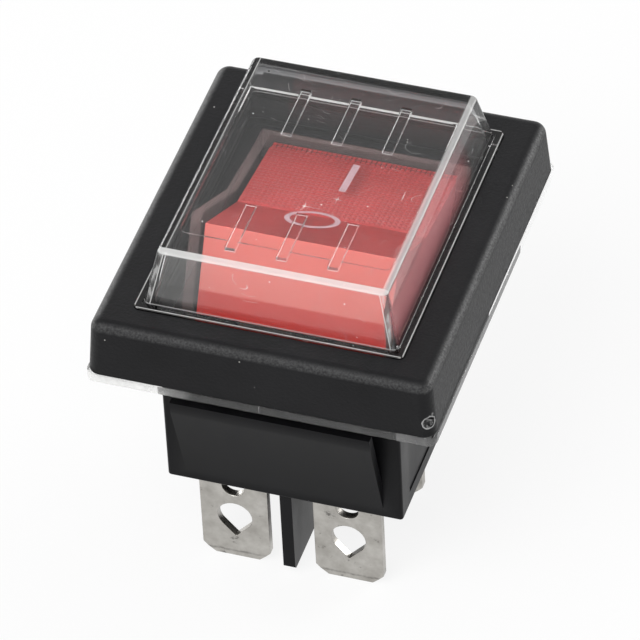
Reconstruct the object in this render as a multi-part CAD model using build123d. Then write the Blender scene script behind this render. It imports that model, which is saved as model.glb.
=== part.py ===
from build123d import *
import os
from math import acos, cos, radians, sin, tan

# A lit two-pole rocker switch for a rectangular panel cut-out, under a clear weather boot that a
# black snap-on frame clamps round the bezel. X runs across the short side, Y along the long side,
# away from the terminal row at the front, and Z out of the panel. The origin is the centre of the
# cut-out in the panel's face, which the boot's rim rests on. Millimetres and degrees. The rocker
# rests with its far half pressed.

# Cover frame
frame_wall = 2.05
frame_top_z = 6.35
frame_draft = 4.0
frame_corner_radius = 1.2
frame_edge_radius = 1.1
frame_plate = 2.15
window_gap = 0.1
gate_scar_radius = 0.55
gate_scar_z = 2.35

# Clear boot
rim_thickness = 0.86
rim_overhang_side = 0.12
rim_overhang_end = 0.08
rim_corner_radius = 0.9
skirt_wall = 0.7
skirt_gap = 0.1
skirt_corner_radius = 1.6
collar_width = 24.1
collar_length = 30.1
collar_rise = 0.18
collar_corner_radius = 0.5
cap_base_width = 22.9
cap_base_length = 28.8
cap_top_width = 20.5
cap_top_length = 26.57
cap_top_z = 11.8
cap_corner_radius = 0.6
cap_edge_radius = 0.45
cap_wall = 0.68
roof_pad_width = 18.9
roof_pad_length = 19.5
roof_pad_depth = 0.12
rib_pitch = 4.6
rib_width = 0.93
rib_depth = 0.45
rib_start_y = 4.75
rib_length = 5.9
rib_count = 3

# Housing
body_width = 21.64
body_length = 26.4
body_depth = 14.97
body_wall = 0.82
body_floor = 1.0
body_corner_radius = 0.3
body_foot_radius = 0.25
side_panel_depth = 0.1
side_panel_margin = 2.2
side_panel_foot = 1.5
locator_width = 21.9
locator_length = 27.9
locator_depth = 1.0
locator_corner_radius = 0.8
locator_gap = 0.05
bezel_width = 25.4
bezel_length = 30.7
bezel_thickness = 2.24
bezel_corner_radius = 1.2
bezel_edge_radius = 0.6
bezel_gap = 0.05
pocket_length = 26.8
partition_thickness = 1.1
fin_depth = 8.9
fin_inset = 0.15
fin_chamfer = 0.25
wing_width = 18.1
wing_top_z = -3.2
wing_reach = 2.8
wing_thickness = 0.7
wing_lip = 1.3
wing_bead = 0.3
wing_bead_step = 0.1
wing_root_z = -13.9
wing_root_height = 3.2

# Terminals and fixed contacts
pole_offset = 5.26
tab_width = 6.3
tab_thickness = 0.8
tab_tip_z = -24.86
tab_chamfer_side = 1.1
tab_chamfer_end = 1.2
tab_coin = 0.16
tab_coin_height = 0.75
tab_slot_gap = 0.05
tab_shoulder_width = 7.4
tab_shoulder_height = 1.3
tab_hole_z = -19.85
tab_hole_radius = 1.6
tab_hole_point = 2.4
tab_pip_z = -16.2
tab_pip_radius = 1.05
front_row_y = -11.6
shelf_end_y = -5.6
shelf_bend_radius = 0.2
contact_y = -7.2
contact_shank_radius = 0.8
contact_head_radius = 1.5
contact_head = 0.6
contact_tail_radius = 1.15
contact_tail = 0.35
contact_gap = 0.03
post_length = 2.0
post_width = 3.0
post_inset = 0.3

# Contact levers
lever_width = 4.6
lever_thickness = 1.0
lever_rise = 7.0
lever_contact_arm = 8.5
lever_stop_arm = 4.9
lever_corner_radius = 0.8
lever_side_gap = 0.1
fulcrum_gap = 0.03
horn_height = 0.7
moving_head = 0.5
moving_head_radius = 1.4
moving_shank_radius = 0.75
stop_post_size = 1.4
stop_gap = 0.05

# Rocker
rocker_width = 19.4
rocker_half_length = 9.9
rocker_edge_height = 10.5
rocker_dish = 10.5
rocker_end_draft = 8.0
rocker_tilt = 18.5
rocker_skirt = 1.2
rocker_edge_radius = 0.35
lens_wall = 1.05
insert_gap = 0.05
insert_wall = 1.1
insert_bottom = 0.3
pivot_z = -3.0
pin_radius = 1.5
pin_gap = 0.05
pin_recess = 0.15
ear_radius = 2.9
tube_wall = 0.65
tube_bottom = 3.4
tube_top = 4.6

# Plungers and springs
plunger_reach = 6.0
plunger_gap = 0.05
plunger_radius = 1.6
plunger_side_gap = 0.05
plunger_tip_radius = 1.2
plunger_shoulder = 4.2
plunger_top = 0.6
plunger_cup_radius = 1.2
plunger_cup_floor = 3.4
spring_wire_radius = 0.17
spring_side_gap = 0.08
spring_turns = 5
spring_wire_sides = 8

# Lamp circuit
lamp_radius = 2.0
lamp_top_z = 2.2
lamp_gap = 0.05
lamp_nipple = 0.4
cup_wall = 0.55
cup_floor = 0.8
cup_bottom_z = -9.0
cup_height = 3.4
lead_radius = 0.28
lead_offset = 0.9
lead_bend = 0.6
lead_hole_gap = 0.05
weld_y = -9.0
resistor_radius = 0.9
resistor_waist = 0.78
resistor_length = 3.4
resistor_cap = 0.9
resistor_start_y = -1.4
resistor_gap = 0.05
resistor_bend = 0.35

SIDES = {"left": -1, "right": 1}

# Heights and places that follow from the sizes above
bezel_top_z = rim_thickness + bezel_thickness
plate_under_z = frame_top_z - frame_plate
collar_top_z = frame_top_z + collar_rise
roof_under_z = cap_top_z - cap_wall
floor_top_z = body_floor - body_depth
body_inner_width = body_width - 2 * body_wall
body_inner_length = body_length - 2 * body_wall
skirt_width = bezel_width + 2 * (bezel_gap + skirt_wall)
skirt_length = bezel_length + 2 * (bezel_gap + skirt_wall)
frame_width = skirt_width + 2 * (skirt_gap + frame_wall)
frame_length = skirt_length + 2 * (skirt_gap + frame_wall)
fulcrum_z = pivot_z - plunger_reach - plunger_gap - lever_thickness / cos(radians(lever_rise))
shelf_top_z = fulcrum_z - moving_head - contact_gap - contact_head
shelf_under_z = shelf_top_z - tab_thickness
bore_radius = plunger_radius + plunger_side_gap
pin_end_x = rocker_width / 2 - lens_wall + pin_recess
lamp_bottom_z = cup_bottom_z + cup_floor
weld_z = (shelf_top_z + shelf_under_z) / 2
inner_edge_x = pole_offset - tab_width / 2
resistor_x = partition_thickness / 2 + resistor_gap + resistor_radius


def box_between(x_range, y_range, z_range):
    """A plain box between two values on each axis."""
    sizes = [high - low for low, high in (x_range, y_range, z_range)]
    middles = [(high + low) / 2 for low, high in (x_range, y_range, z_range)]
    return Pos(*middles) * Box(*sizes)


def rounded_block(width, length, low, high, radius):
    """A block with rounded upright edges, centred on the origin, between two heights."""
    outline = Plane.XY.offset(low) * RectangleRounded(width, length, radius)
    return extrude(outline, amount=high - low)


def tapered_block(base, top, low, high, radius):
    """A block that tapers from a (width, length) at the bottom to another at the top."""
    lower = Plane.XY.offset(low) * RectangleRounded(*base, radius)
    upper = Plane.XY.offset(high) * RectangleRounded(*top, radius)
    return loft([lower, upper], ruled=True)


def inside(size, wall):
    """A (width, length) less a wall on every side."""
    return size[0] - 2 * wall, size[1] - 2 * wall


def upright_cylinder(x, y, low, high, radius):
    """A cylinder along Z between two heights."""
    return Pos(x, y, (low + high) / 2) * Cylinder(radius, high - low)


def cross_cylinder(x_range, y, z, radius):
    """A cylinder along X between two places."""
    low, high = x_range
    return Pos((low + high) / 2, y, z) * Rot(Y=90) * Cylinder(radius, high - low)


def side_profile(points, width):
    """A closed outline in the YZ plane, as thick as width and centred on X."""
    outline = Plane.YZ * make_face(Polyline(*points, close=True))
    return extrude(outline, amount=width / 2, both=True)


def edges_at(shape, value, axis=Axis.Z):
    """The edges whose middle lies at one place along an axis."""
    return shape.edges().filter_by_position(axis, value - 0.001, value + 0.001)


def wire_along(points, bend_radius, wire_radius):
    """A round wire that follows a path with bent corners."""
    path = FilletPolyline(*points, radius=bend_radius)
    return sweep(Plane(path @ 0, z_dir=path % 0) * Circle(wire_radius), path=path)


def rocker_pose(shape):
    """Turns a rocker piece, drawn upright about its pivot, to the resting tilt."""
    return Pos(0, 0, pivot_z) * Rot(X=-rocker_tilt) * shape


def make_cover_frame():
    """The black frame: drafted walls and a top plate with the window, open below."""
    top_inset = (frame_top_z - rim_thickness) * tan(radians(frame_draft))
    shell = tapered_block(
        (frame_width, frame_length), inside((frame_width, frame_length), top_inset),
        rim_thickness, frame_top_z, frame_corner_radius,
    )
    shell = fillet(edges_at(shell, frame_top_z), frame_edge_radius)
    cavity = rounded_block(
        skirt_width + 2 * skirt_gap, skirt_length + 2 * skirt_gap,
        rim_thickness, plate_under_z, skirt_corner_radius + skirt_gap,
    )
    window = rounded_block(
        collar_width + 2 * window_gap, collar_length + 2 * window_gap,
        plate_under_z, frame_top_z, collar_corner_radius + window_gap,
    )
    lean = (gate_scar_z - rim_thickness) * tan(radians(frame_draft))
    rounding = frame_corner_radius * (1 - cos(radians(45)))
    corner = (frame_width / 2 - lean - rounding, lean + rounding - frame_length / 2, gate_scar_z)
    gate_scar = Pos(*corner) * Sphere(gate_scar_radius)
    return shell - cavity - window - gate_scar


def cap_size(height):
    """The boot cap's outer (width, length) at a height."""
    share = (cap_top_z - height) / (cap_top_z - collar_top_z)
    width = cap_top_width + (cap_base_width - cap_top_width) * share
    length = cap_top_length + (cap_base_length - cap_top_length) * share
    return width, length


def make_boot():
    """The clear boot: rim, skirt over the bezel, collar in the window, cap and roof ribs."""
    rim = rounded_block(
        frame_width + 2 * rim_overhang_side, frame_length + 2 * rim_overhang_end,
        0, rim_thickness, rim_corner_radius,
    )
    skirt = rounded_block(
        skirt_width, skirt_length, rim_thickness, plate_under_z, skirt_corner_radius,
    )
    collar = rounded_block(
        collar_width, collar_length, plate_under_z, collar_top_z, collar_corner_radius,
    )
    cap = tapered_block(
        cap_size(collar_top_z), cap_size(cap_top_z), collar_top_z, cap_top_z, cap_corner_radius,
    )
    cap = fillet(edges_at(cap, cap_top_z), cap_edge_radius)

    window = rounded_block(
        locator_width + 2 * locator_gap, locator_length + 2 * locator_gap,
        0, rim_thickness, locator_corner_radius + locator_gap,
    )
    bezel_room = rounded_block(
        bezel_width + 2 * bezel_gap, bezel_length + 2 * bezel_gap,
        rim_thickness, bezel_top_z, bezel_corner_radius + bezel_gap,
    )
    base_inside = inside(cap_size(collar_top_z), cap_wall)
    lower_room = rounded_block(*base_inside, bezel_top_z, collar_top_z, cap_corner_radius)
    upper_room = tapered_block(
        base_inside, inside(cap_size(roof_under_z), cap_wall),
        collar_top_z, roof_under_z, cap_corner_radius,
    )
    boot = rim + skirt + collar + cap - window - bezel_room - lower_room - upper_room
    pad = rounded_block(
        roof_pad_width, roof_pad_length,
        roof_under_z - roof_pad_depth, roof_under_z, cap_corner_radius,
    )
    boot += pad
    for index in range(rib_count):
        rib_x = (index - (rib_count - 1) / 2) * rib_pitch
        for end in (-1, 1):
            near, far = sorted((end * rib_start_y, end * (rib_start_y + rib_length)))
            boot += box_between(
                (rib_x - rib_width / 2, rib_x + rib_width / 2), (near, far),
                (roof_under_z - rib_depth, roof_under_z),
            )
    return boot


def make_wing():
    """One snap wing: a flap that leans out from the foot of a short side, lip at its top."""
    wall_y = body_length / 2
    tip_y = wall_y + wing_reach
    points = [
        (wall_y - body_wall / 2, wing_root_z),
        (wall_y, wing_root_z),
        (tip_y - wing_bead_step, wing_top_z - wing_lip),
        (tip_y - wing_bead_step, wing_top_z - wing_bead),
        (tip_y, wing_top_z - wing_bead),
        (tip_y, wing_top_z),
        (tip_y - wing_thickness, wing_top_z),
        (wall_y, wing_root_z + wing_root_height),
        (wall_y - body_wall / 2, wing_root_z + wing_root_height),
    ]
    return side_profile(points, wing_width)


def make_housing_shell():
    """The housing's walls, floor, locator and bezel, hollow and open at the top."""
    body = rounded_block(body_width, body_length, -body_depth, rim_thickness, body_corner_radius)
    body = fillet(edges_at(body, -body_depth), body_foot_radius)
    panel_half = body_length / 2 - side_panel_margin
    for side in SIDES.values():
        face_x = side * body_width / 2
        body -= box_between(
            (face_x - side_panel_depth, face_x + side_panel_depth), (-panel_half, panel_half),
            (side_panel_foot - body_depth, -locator_depth),
        )
    locator = rounded_block(
        locator_width, locator_length, -locator_depth, rim_thickness, locator_corner_radius,
    )
    bezel = rounded_block(
        bezel_width, bezel_length, rim_thickness, bezel_top_z, bezel_corner_radius,
    )
    bezel = fillet(edges_at(bezel, bezel_top_z), bezel_edge_radius)
    room = rounded_block(
        body_inner_width, body_inner_length, floor_top_z, rim_thickness, body_corner_radius,
    )
    pocket = rounded_block(
        body_inner_width, pocket_length, rim_thickness, bezel_top_z, body_corner_radius,
    )
    return body + locator + bezel - room - pocket


def make_housing():
    """The black housing with its snap wings, partition, fin, lamp cup, posts and pivot pins."""
    housing = make_housing_shell()
    wing = make_wing()
    housing += wing + mirror(wing, about=Plane.XZ)
    half_partition = partition_thickness / 2
    housing += box_between(
        (-half_partition, half_partition),
        (-body_inner_length / 2, body_inner_length / 2), (floor_top_z, cup_bottom_z),
    )
    fin_half = body_length / 2 - fin_inset
    fin = box_between(
        (-half_partition, half_partition), (-fin_half, fin_half),
        (-body_depth - fin_depth, -body_depth),
    )
    fin_foot = edges_at(fin, -body_depth - fin_depth).filter_by(Axis.X)
    housing += chamfer(fin_foot, fin_chamfer)
    cup_radius = lamp_radius + lamp_gap + cup_wall
    cup = upright_cylinder(0, 0, cup_bottom_z, cup_bottom_z + cup_height, cup_radius)
    cup -= upright_cylinder(
        0, 0, lamp_bottom_z, cup_bottom_z + cup_height, lamp_radius + lamp_gap,
    )
    housing += cup
    post_y = front_row_y + tab_thickness / 2 + post_inset
    stop_y = lever_stop_arm * cos(radians(2 * lever_rise)) - stop_post_size / 2
    half_slot = tab_thickness / 2 + tab_slot_gap
    for side in SIDES.values():
        pole_x = side * pole_offset
        housing += box_between(
            (pole_x - post_width / 2, pole_x + post_width / 2),
            (post_y, post_y + post_length), (floor_top_z, shelf_under_z),
        )
        housing += box_between(
            (pole_x - stop_post_size / 2, pole_x + stop_post_size / 2),
            (stop_y - stop_post_size / 2, stop_y + stop_post_size / 2),
            (floor_top_z, fulcrum_z - stop_gap),
        )
        for row_y in (front_row_y, 0):
            housing -= box_between(
                (pole_x - tab_width / 2 - tab_slot_gap, pole_x + tab_width / 2 + tab_slot_gap),
                (row_y - half_slot, row_y + half_slot), (-body_depth, floor_top_z),
            )
        housing -= upright_cylinder(
            side * lead_offset, 0, cup_bottom_z, lamp_bottom_z, lead_radius + lead_hole_gap,
        )
        boss_range = sorted((side * pin_end_x, side * (body_width - body_wall) / 2))
        housing += cross_cylinder(boss_range, 0, pivot_z, pin_radius)
    return housing


def make_blade(side, row_y, top_z):
    """The flat blade of a terminal, with its two holes, chamfered tip and floor shoulder."""
    half = tab_width / 2
    outline = make_face(Polyline(
        (-half, top_z),
        (-half, tab_tip_z + tab_chamfer_end),
        (tab_chamfer_side - half, tab_tip_z),
        (half - tab_chamfer_side, tab_tip_z),
        (half, tab_tip_z + tab_chamfer_end),
        (half, top_z),
        close=True,
    ))
    tangent_angle = acos(tab_hole_radius / tab_hole_point)
    tangent_x = tab_hole_radius * sin(tangent_angle)
    tangent_z = tab_hole_z - tab_hole_radius * cos(tangent_angle)
    point = make_face(Polyline(
        (-tangent_x, tangent_z),
        (0, tab_hole_z - tab_hole_point),
        (tangent_x, tangent_z),
        (0, tab_hole_z),
        close=True,
    ))
    outline -= Pos(0, tab_hole_z) * Circle(tab_hole_radius) + point
    outline -= Pos(0, tab_pip_z) * Circle(tab_pip_radius)
    half_thickness = tab_thickness / 2
    blade = extrude(Plane.XZ * outline, amount=half_thickness, both=True)
    blade &= side_profile(
        [
            (-half_thickness, top_z),
            (-half_thickness, tab_tip_z + tab_coin_height),
            (tab_coin - half_thickness, tab_tip_z),
            (half_thickness - tab_coin, tab_tip_z),
            (half_thickness, tab_tip_z + tab_coin_height),
            (half_thickness, top_z),
        ],
        tab_width,
    )
    blade += box_between(
        (-tab_shoulder_width / 2, tab_shoulder_width / 2), (-half_thickness, half_thickness),
        (floor_top_z, floor_top_z + tab_shoulder_height),
    )
    return Pos(side * pole_offset, row_y, 0) * blade


def make_front_terminal(side):
    """A front terminal: the blade, bent over inside into the shelf that holds the contact."""
    bend_foot_z = floor_top_z + tab_shoulder_height
    blade = make_blade(side, front_row_y, bend_foot_z)
    outer_y = front_row_y - tab_thickness / 2
    inner_y = front_row_y + tab_thickness / 2
    shelf = side_profile(
        [
            (outer_y, bend_foot_z), (outer_y, shelf_top_z),
            (shelf_end_y, shelf_top_z), (shelf_end_y, shelf_under_z),
            (inner_y, shelf_under_z), (inner_y, bend_foot_z),
        ],
        tab_width,
    )
    outer_bend = edges_at(shelf, shelf_top_z).filter_by(Axis.X).sort_by(Axis.Y)[0]
    shelf = fillet(outer_bend, shelf_bend_radius + tab_thickness)
    inner_bend = edges_at(shelf, shelf_under_z).filter_by(Axis.X).sort_by(Axis.Y)[0]
    shelf = fillet(inner_bend, shelf_bend_radius)
    hole = upright_cylinder(0, contact_y, shelf_under_z, shelf_top_z, contact_shank_radius)
    return blade + Pos(side * pole_offset, 0, 0) * (shelf - hole)


def make_common_terminal(side):
    """A common terminal: the blade carries a rounded fulcrum edge between two horns."""
    blade = make_blade(side, 0, floor_top_z + tab_shoulder_height)
    half_thickness = tab_thickness / 2
    saddle = box_between(
        (-tab_shoulder_width / 2, tab_shoulder_width / 2), (-half_thickness, half_thickness),
        (floor_top_z + tab_shoulder_height, fulcrum_z + horn_height),
    )
    notch = lever_width / 2 + lever_side_gap
    saddle -= box_between(
        (-notch, notch), (-half_thickness, half_thickness),
        (fulcrum_z, fulcrum_z + horn_height),
    )
    saddle += cross_cylinder((-notch, notch), 0, fulcrum_z, half_thickness)
    return blade + Pos(side * pole_offset, 0, 0) * saddle


def make_fixed_contact(side):
    """The silver rivet in the front terminal's shelf."""
    x = side * pole_offset
    head = upright_cylinder(
        x, contact_y, shelf_top_z, shelf_top_z + contact_head, contact_head_radius,
    )
    shank = upright_cylinder(x, contact_y, shelf_under_z, shelf_top_z, contact_shank_radius)
    tail = upright_cylinder(
        x, contact_y, shelf_under_z - contact_tail, shelf_under_z, contact_tail_radius,
    )
    return head + shank + tail


def make_contact_lever(side):
    """The copper lever, a shallow V that rocks on the fulcrum, in its closed position."""
    across = cos(radians(lever_rise))
    up = sin(radians(lever_rise))
    contact_end = (-lever_contact_arm * across, lever_contact_arm * up)
    stop_end = (lever_stop_arm * across, lever_stop_arm * up)
    rise = lever_thickness * across
    lean = lever_thickness * up
    strip = side_profile(
        [
            contact_end, (0, 0), stop_end,
            (stop_end[0] - lean, stop_end[1] + rise),
            (0, lever_thickness / across),
            (contact_end[0] + lean, contact_end[1] + rise),
        ],
        lever_width,
    )
    corners = strip.edges().filter_by(Axis.Z, tolerance=2 * lever_rise)
    ends = corners.sort_by(Axis.Y)
    strip = fillet(ends[:2] + ends[-2:], lever_corner_radius)
    strip -= cross_cylinder((-lever_width, lever_width), 0, 0, tab_thickness / 2 + fulcrum_gap)
    posed = Rot(X=lever_rise) * strip
    hole = upright_cylinder(0, contact_y, 0, lever_thickness, moving_shank_radius)
    return Pos(side * pole_offset, 0, fulcrum_z) * (posed - hole)


def make_moving_contact(side):
    """The silver rivet under the lever's long arm, flush with the lever's top."""
    x = side * pole_offset
    head = upright_cylinder(x, contact_y, fulcrum_z - moving_head, fulcrum_z, moving_head_radius)
    shank = upright_cylinder(
        x, contact_y, fulcrum_z, fulcrum_z + lever_thickness, moving_shank_radius,
    )
    return head + shank


def rocker_section(inset, bottom):
    """The rocker's dished outline in its own YZ plane, moved in by an inset."""
    dish = tan(radians(rocker_dish))
    lean = tan(radians(rocker_end_draft))
    valley = rocker_edge_height - rocker_half_length * dish - inset / cos(radians(rocker_dish))
    end_y = rocker_half_length - inset / cos(radians(rocker_end_draft))
    ridge_y = (end_y + (rocker_edge_height - valley) * lean) / (1 + dish * lean)
    ridge_z = valley + ridge_y * dish
    foot_y = end_y + (rocker_edge_height - bottom) * lean
    return [
        (0, valley), (ridge_y, ridge_z), (foot_y, bottom), (-foot_y, bottom), (-ridge_y, ridge_z),
    ]


def make_rocker():
    """The clear rocker lens: a dished shell with bored ears that turn on the pins, open below."""
    half_width = rocker_width / 2
    outer = side_profile(rocker_section(0, -rocker_skirt), rocker_width)
    bottom_edges = edges_at(outer, -rocker_skirt)
    outer = fillet(outer.edges() - bottom_edges, rocker_edge_radius)
    inner_half = half_width - lens_wall
    shell = outer - side_profile(rocker_section(lens_wall, -rocker_skirt), 2 * inner_half)
    for side in SIDES.values():
        wall_range = sorted((side * inner_half, side * half_width))
        shell += cross_cylinder(wall_range, 0, 0, ear_radius)
        shell -= cross_cylinder(wall_range, 0, 0, pin_radius + pin_gap)
    return rocker_pose(shell)


def make_rocker_insert():
    """The red insert under the lens: a shell of the same form with the two plunger tubes."""
    half_width = rocker_width / 2 - lens_wall - insert_gap
    outer_inset = lens_wall + insert_gap
    inner_inset = outer_inset + insert_wall
    insert = side_profile(rocker_section(outer_inset, insert_bottom), 2 * half_width)
    insert -= side_profile(
        rocker_section(inner_inset, insert_bottom), 2 * (half_width - insert_wall),
    )
    inner_valley = rocker_section(inner_inset, insert_bottom)[0][1]
    for side in SIDES.values():
        insert += upright_cylinder(
            side * pole_offset, 0, -tube_bottom, inner_valley + insert_wall / 2,
            bore_radius + tube_wall,
        )
    for side in SIDES.values():
        insert -= upright_cylinder(side * pole_offset, 0, -tube_bottom, tube_top, bore_radius)
    return rocker_pose(insert)


def make_plunger(side):
    """A plunger: a cup that slides in the insert's tube, with a round tip on the lever."""
    tip_centre = plunger_tip_radius - plunger_reach
    body = upright_cylinder(0, 0, -plunger_shoulder, -plunger_top, plunger_radius)
    body -= upright_cylinder(0, 0, -plunger_cup_floor, -plunger_top, plunger_cup_radius)
    neck = upright_cylinder(0, 0, tip_centre, -plunger_shoulder, plunger_tip_radius)
    tip = Pos(0, 0, tip_centre) * Sphere(plunger_tip_radius)
    return rocker_pose(Pos(side * pole_offset, 0, 0) * (body + neck + tip))


def make_plunger_spring(side):
    """The coil spring between the plunger's cup and its tube's end, its wire in flats."""
    mean_radius = plunger_cup_radius - spring_side_gap - spring_wire_radius
    low = spring_wire_radius - plunger_cup_floor
    height = tube_top - spring_wire_radius - low
    coil = Helix(pitch=height / spring_turns, height=height, radius=mean_radius)
    start = Plane(origin=coil @ 0, z_dir=coil % 0)
    wire = sweep(start * RegularPolygon(spring_wire_radius, spring_wire_sides), path=coil)
    return rocker_pose(Pos(side * pole_offset, 0, low) * wire)


def make_neon_lamp():
    """The neon lamp: a glass tube with a domed top and its seal-off nipple."""
    dome_centre = lamp_top_z - lamp_nipple - lamp_radius
    tube = upright_cylinder(0, 0, lamp_bottom_z, dome_centre, lamp_radius)
    dome = Pos(0, 0, dome_centre) * Sphere(lamp_radius)
    nipple = upright_cylinder(0, 0, dome_centre, lamp_top_z, lamp_nipple)
    return tube + dome + nipple


def make_lamp_lead_left():
    """The lamp's left lead, welded to the edge of the left front terminal's shelf."""
    points = [
        (-lead_offset, 0, lamp_bottom_z),
        (-lead_offset, 0, weld_z),
        (-lead_offset, weld_y, weld_z),
        (-inner_edge_x, weld_y, weld_z),
    ]
    return wire_along(points, lead_bend, lead_radius)


def make_lamp_lead_right():
    """The lamp's right lead, which runs to the resistor."""
    points = [
        (lead_offset, 0, lamp_bottom_z),
        (lead_offset, 0, weld_z),
        (lead_offset, resistor_start_y, weld_z),
    ]
    return wire_along(points, lead_bend, lead_radius)


def make_lamp_resistor():
    """The lamp's series resistor, its tail welded to the right front terminal's shelf."""
    end_y = resistor_start_y - resistor_length
    centre_y = (resistor_start_y + end_y) / 2
    lying = Pos(resistor_x, centre_y, weld_z) * Rot(X=90)
    waist = lying * Cylinder(resistor_waist, resistor_length)
    cap = Cylinder(resistor_radius, resistor_cap)
    cap_shift = (resistor_length - resistor_cap) / 2
    caps = lying * (Pos(0, 0, cap_shift) * cap + Pos(0, 0, -cap_shift) * cap)
    points = [
        (resistor_x, end_y, weld_z),
        (resistor_x, weld_y, weld_z),
        (inner_edge_x, weld_y, weld_z),
    ]
    return waist + caps + wire_along(points, resistor_bend, lead_radius)


def make_parts():
    """Every piece of the switch under its node name."""
    parts = {
        "housing": make_housing(),
        "cover_frame": make_cover_frame(),
        "boot": make_boot(),
        "rocker": make_rocker(),
        "rocker_insert": make_rocker_insert(),
        "neon_lamp": make_neon_lamp(),
        "lamp_lead_left": make_lamp_lead_left(),
        "lamp_lead_right": make_lamp_lead_right(),
        "lamp_resistor": make_lamp_resistor(),
    }
    for name, side in SIDES.items():
        parts[f"front_terminal_{name}"] = make_front_terminal(side)
        parts[f"common_terminal_{name}"] = make_common_terminal(side)
        parts[f"fixed_contact_{name}"] = make_fixed_contact(side)
        parts[f"contact_lever_{name}"] = make_contact_lever(side)
        parts[f"moving_contact_{name}"] = make_moving_contact(side)
        parts[f"plunger_{name}"] = make_plunger(side)
        parts[f"plunger_spring_{name}"] = make_plunger_spring(side)
    return parts


os.makedirs("parts", exist_ok=True)
for node, shape in make_parts().items():
    export_step(shape, f"parts/{node}.step")
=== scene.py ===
"""Looks of a lit rocker switch under a clear weather boot.

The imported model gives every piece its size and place. This script gives each piece its finish, softens
its edges, adds what the model leaves out (the prism pattern under the lens, the printed marks, the
round spring wire) and sets the light, the floor and the camera. Lengths in the classes are in
millimetres and angles in degrees.
"""

import logging
import math
from dataclasses import dataclass, field
from enum import Enum

import bmesh
import bpy
from mathutils import Matrix, Vector


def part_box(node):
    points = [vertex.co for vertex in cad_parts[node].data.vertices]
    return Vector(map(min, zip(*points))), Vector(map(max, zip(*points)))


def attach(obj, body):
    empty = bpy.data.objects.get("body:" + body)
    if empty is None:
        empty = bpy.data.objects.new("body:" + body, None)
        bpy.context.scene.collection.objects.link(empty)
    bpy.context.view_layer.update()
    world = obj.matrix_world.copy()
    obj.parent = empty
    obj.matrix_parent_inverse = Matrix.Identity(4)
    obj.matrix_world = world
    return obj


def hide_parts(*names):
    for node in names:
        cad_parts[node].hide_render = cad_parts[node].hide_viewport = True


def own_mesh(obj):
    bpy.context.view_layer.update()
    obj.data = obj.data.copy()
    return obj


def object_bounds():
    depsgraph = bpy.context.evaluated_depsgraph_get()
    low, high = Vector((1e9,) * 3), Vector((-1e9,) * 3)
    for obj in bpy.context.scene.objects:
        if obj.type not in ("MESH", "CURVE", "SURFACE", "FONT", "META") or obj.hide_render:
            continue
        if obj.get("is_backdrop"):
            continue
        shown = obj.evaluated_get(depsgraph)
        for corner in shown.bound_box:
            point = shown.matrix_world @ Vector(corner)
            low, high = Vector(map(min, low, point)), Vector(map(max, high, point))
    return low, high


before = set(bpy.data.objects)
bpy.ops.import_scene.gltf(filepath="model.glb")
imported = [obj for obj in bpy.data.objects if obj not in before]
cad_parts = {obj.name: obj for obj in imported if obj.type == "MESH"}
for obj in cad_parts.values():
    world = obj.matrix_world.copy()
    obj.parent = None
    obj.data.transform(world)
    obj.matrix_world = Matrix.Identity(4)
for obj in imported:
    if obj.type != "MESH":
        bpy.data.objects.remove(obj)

MM = 0.001
Colour = tuple[float, float, float]

log = logging.getLogger("rocker_switch")


class Side(Enum):
    """The two poles of the switch."""

    LEFT = -1
    RIGHT = 1

    @property
    def label(self) -> str:
        """The pole's name as the nodes spell it."""
        return self.name.lower()


class Carrier(Enum):
    """The bodies that pieces ride on."""

    SWITCH = "switch_body"
    ROCKER = "rocker_body"
    LEVER = "lever_{side}_body"
    PLUNGER = "plunger_{side}_body"

    def named(self, side: Side | None = None) -> str:
        """The body's name, for one pole where there are two such bodies."""
        return self.value.format(side=side.label if side else "")


class Mark(Enum):
    """The two printed marks on the lens."""

    OPEN = "mark_o"
    CLOSED = "mark_i"


# Shader building


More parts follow.
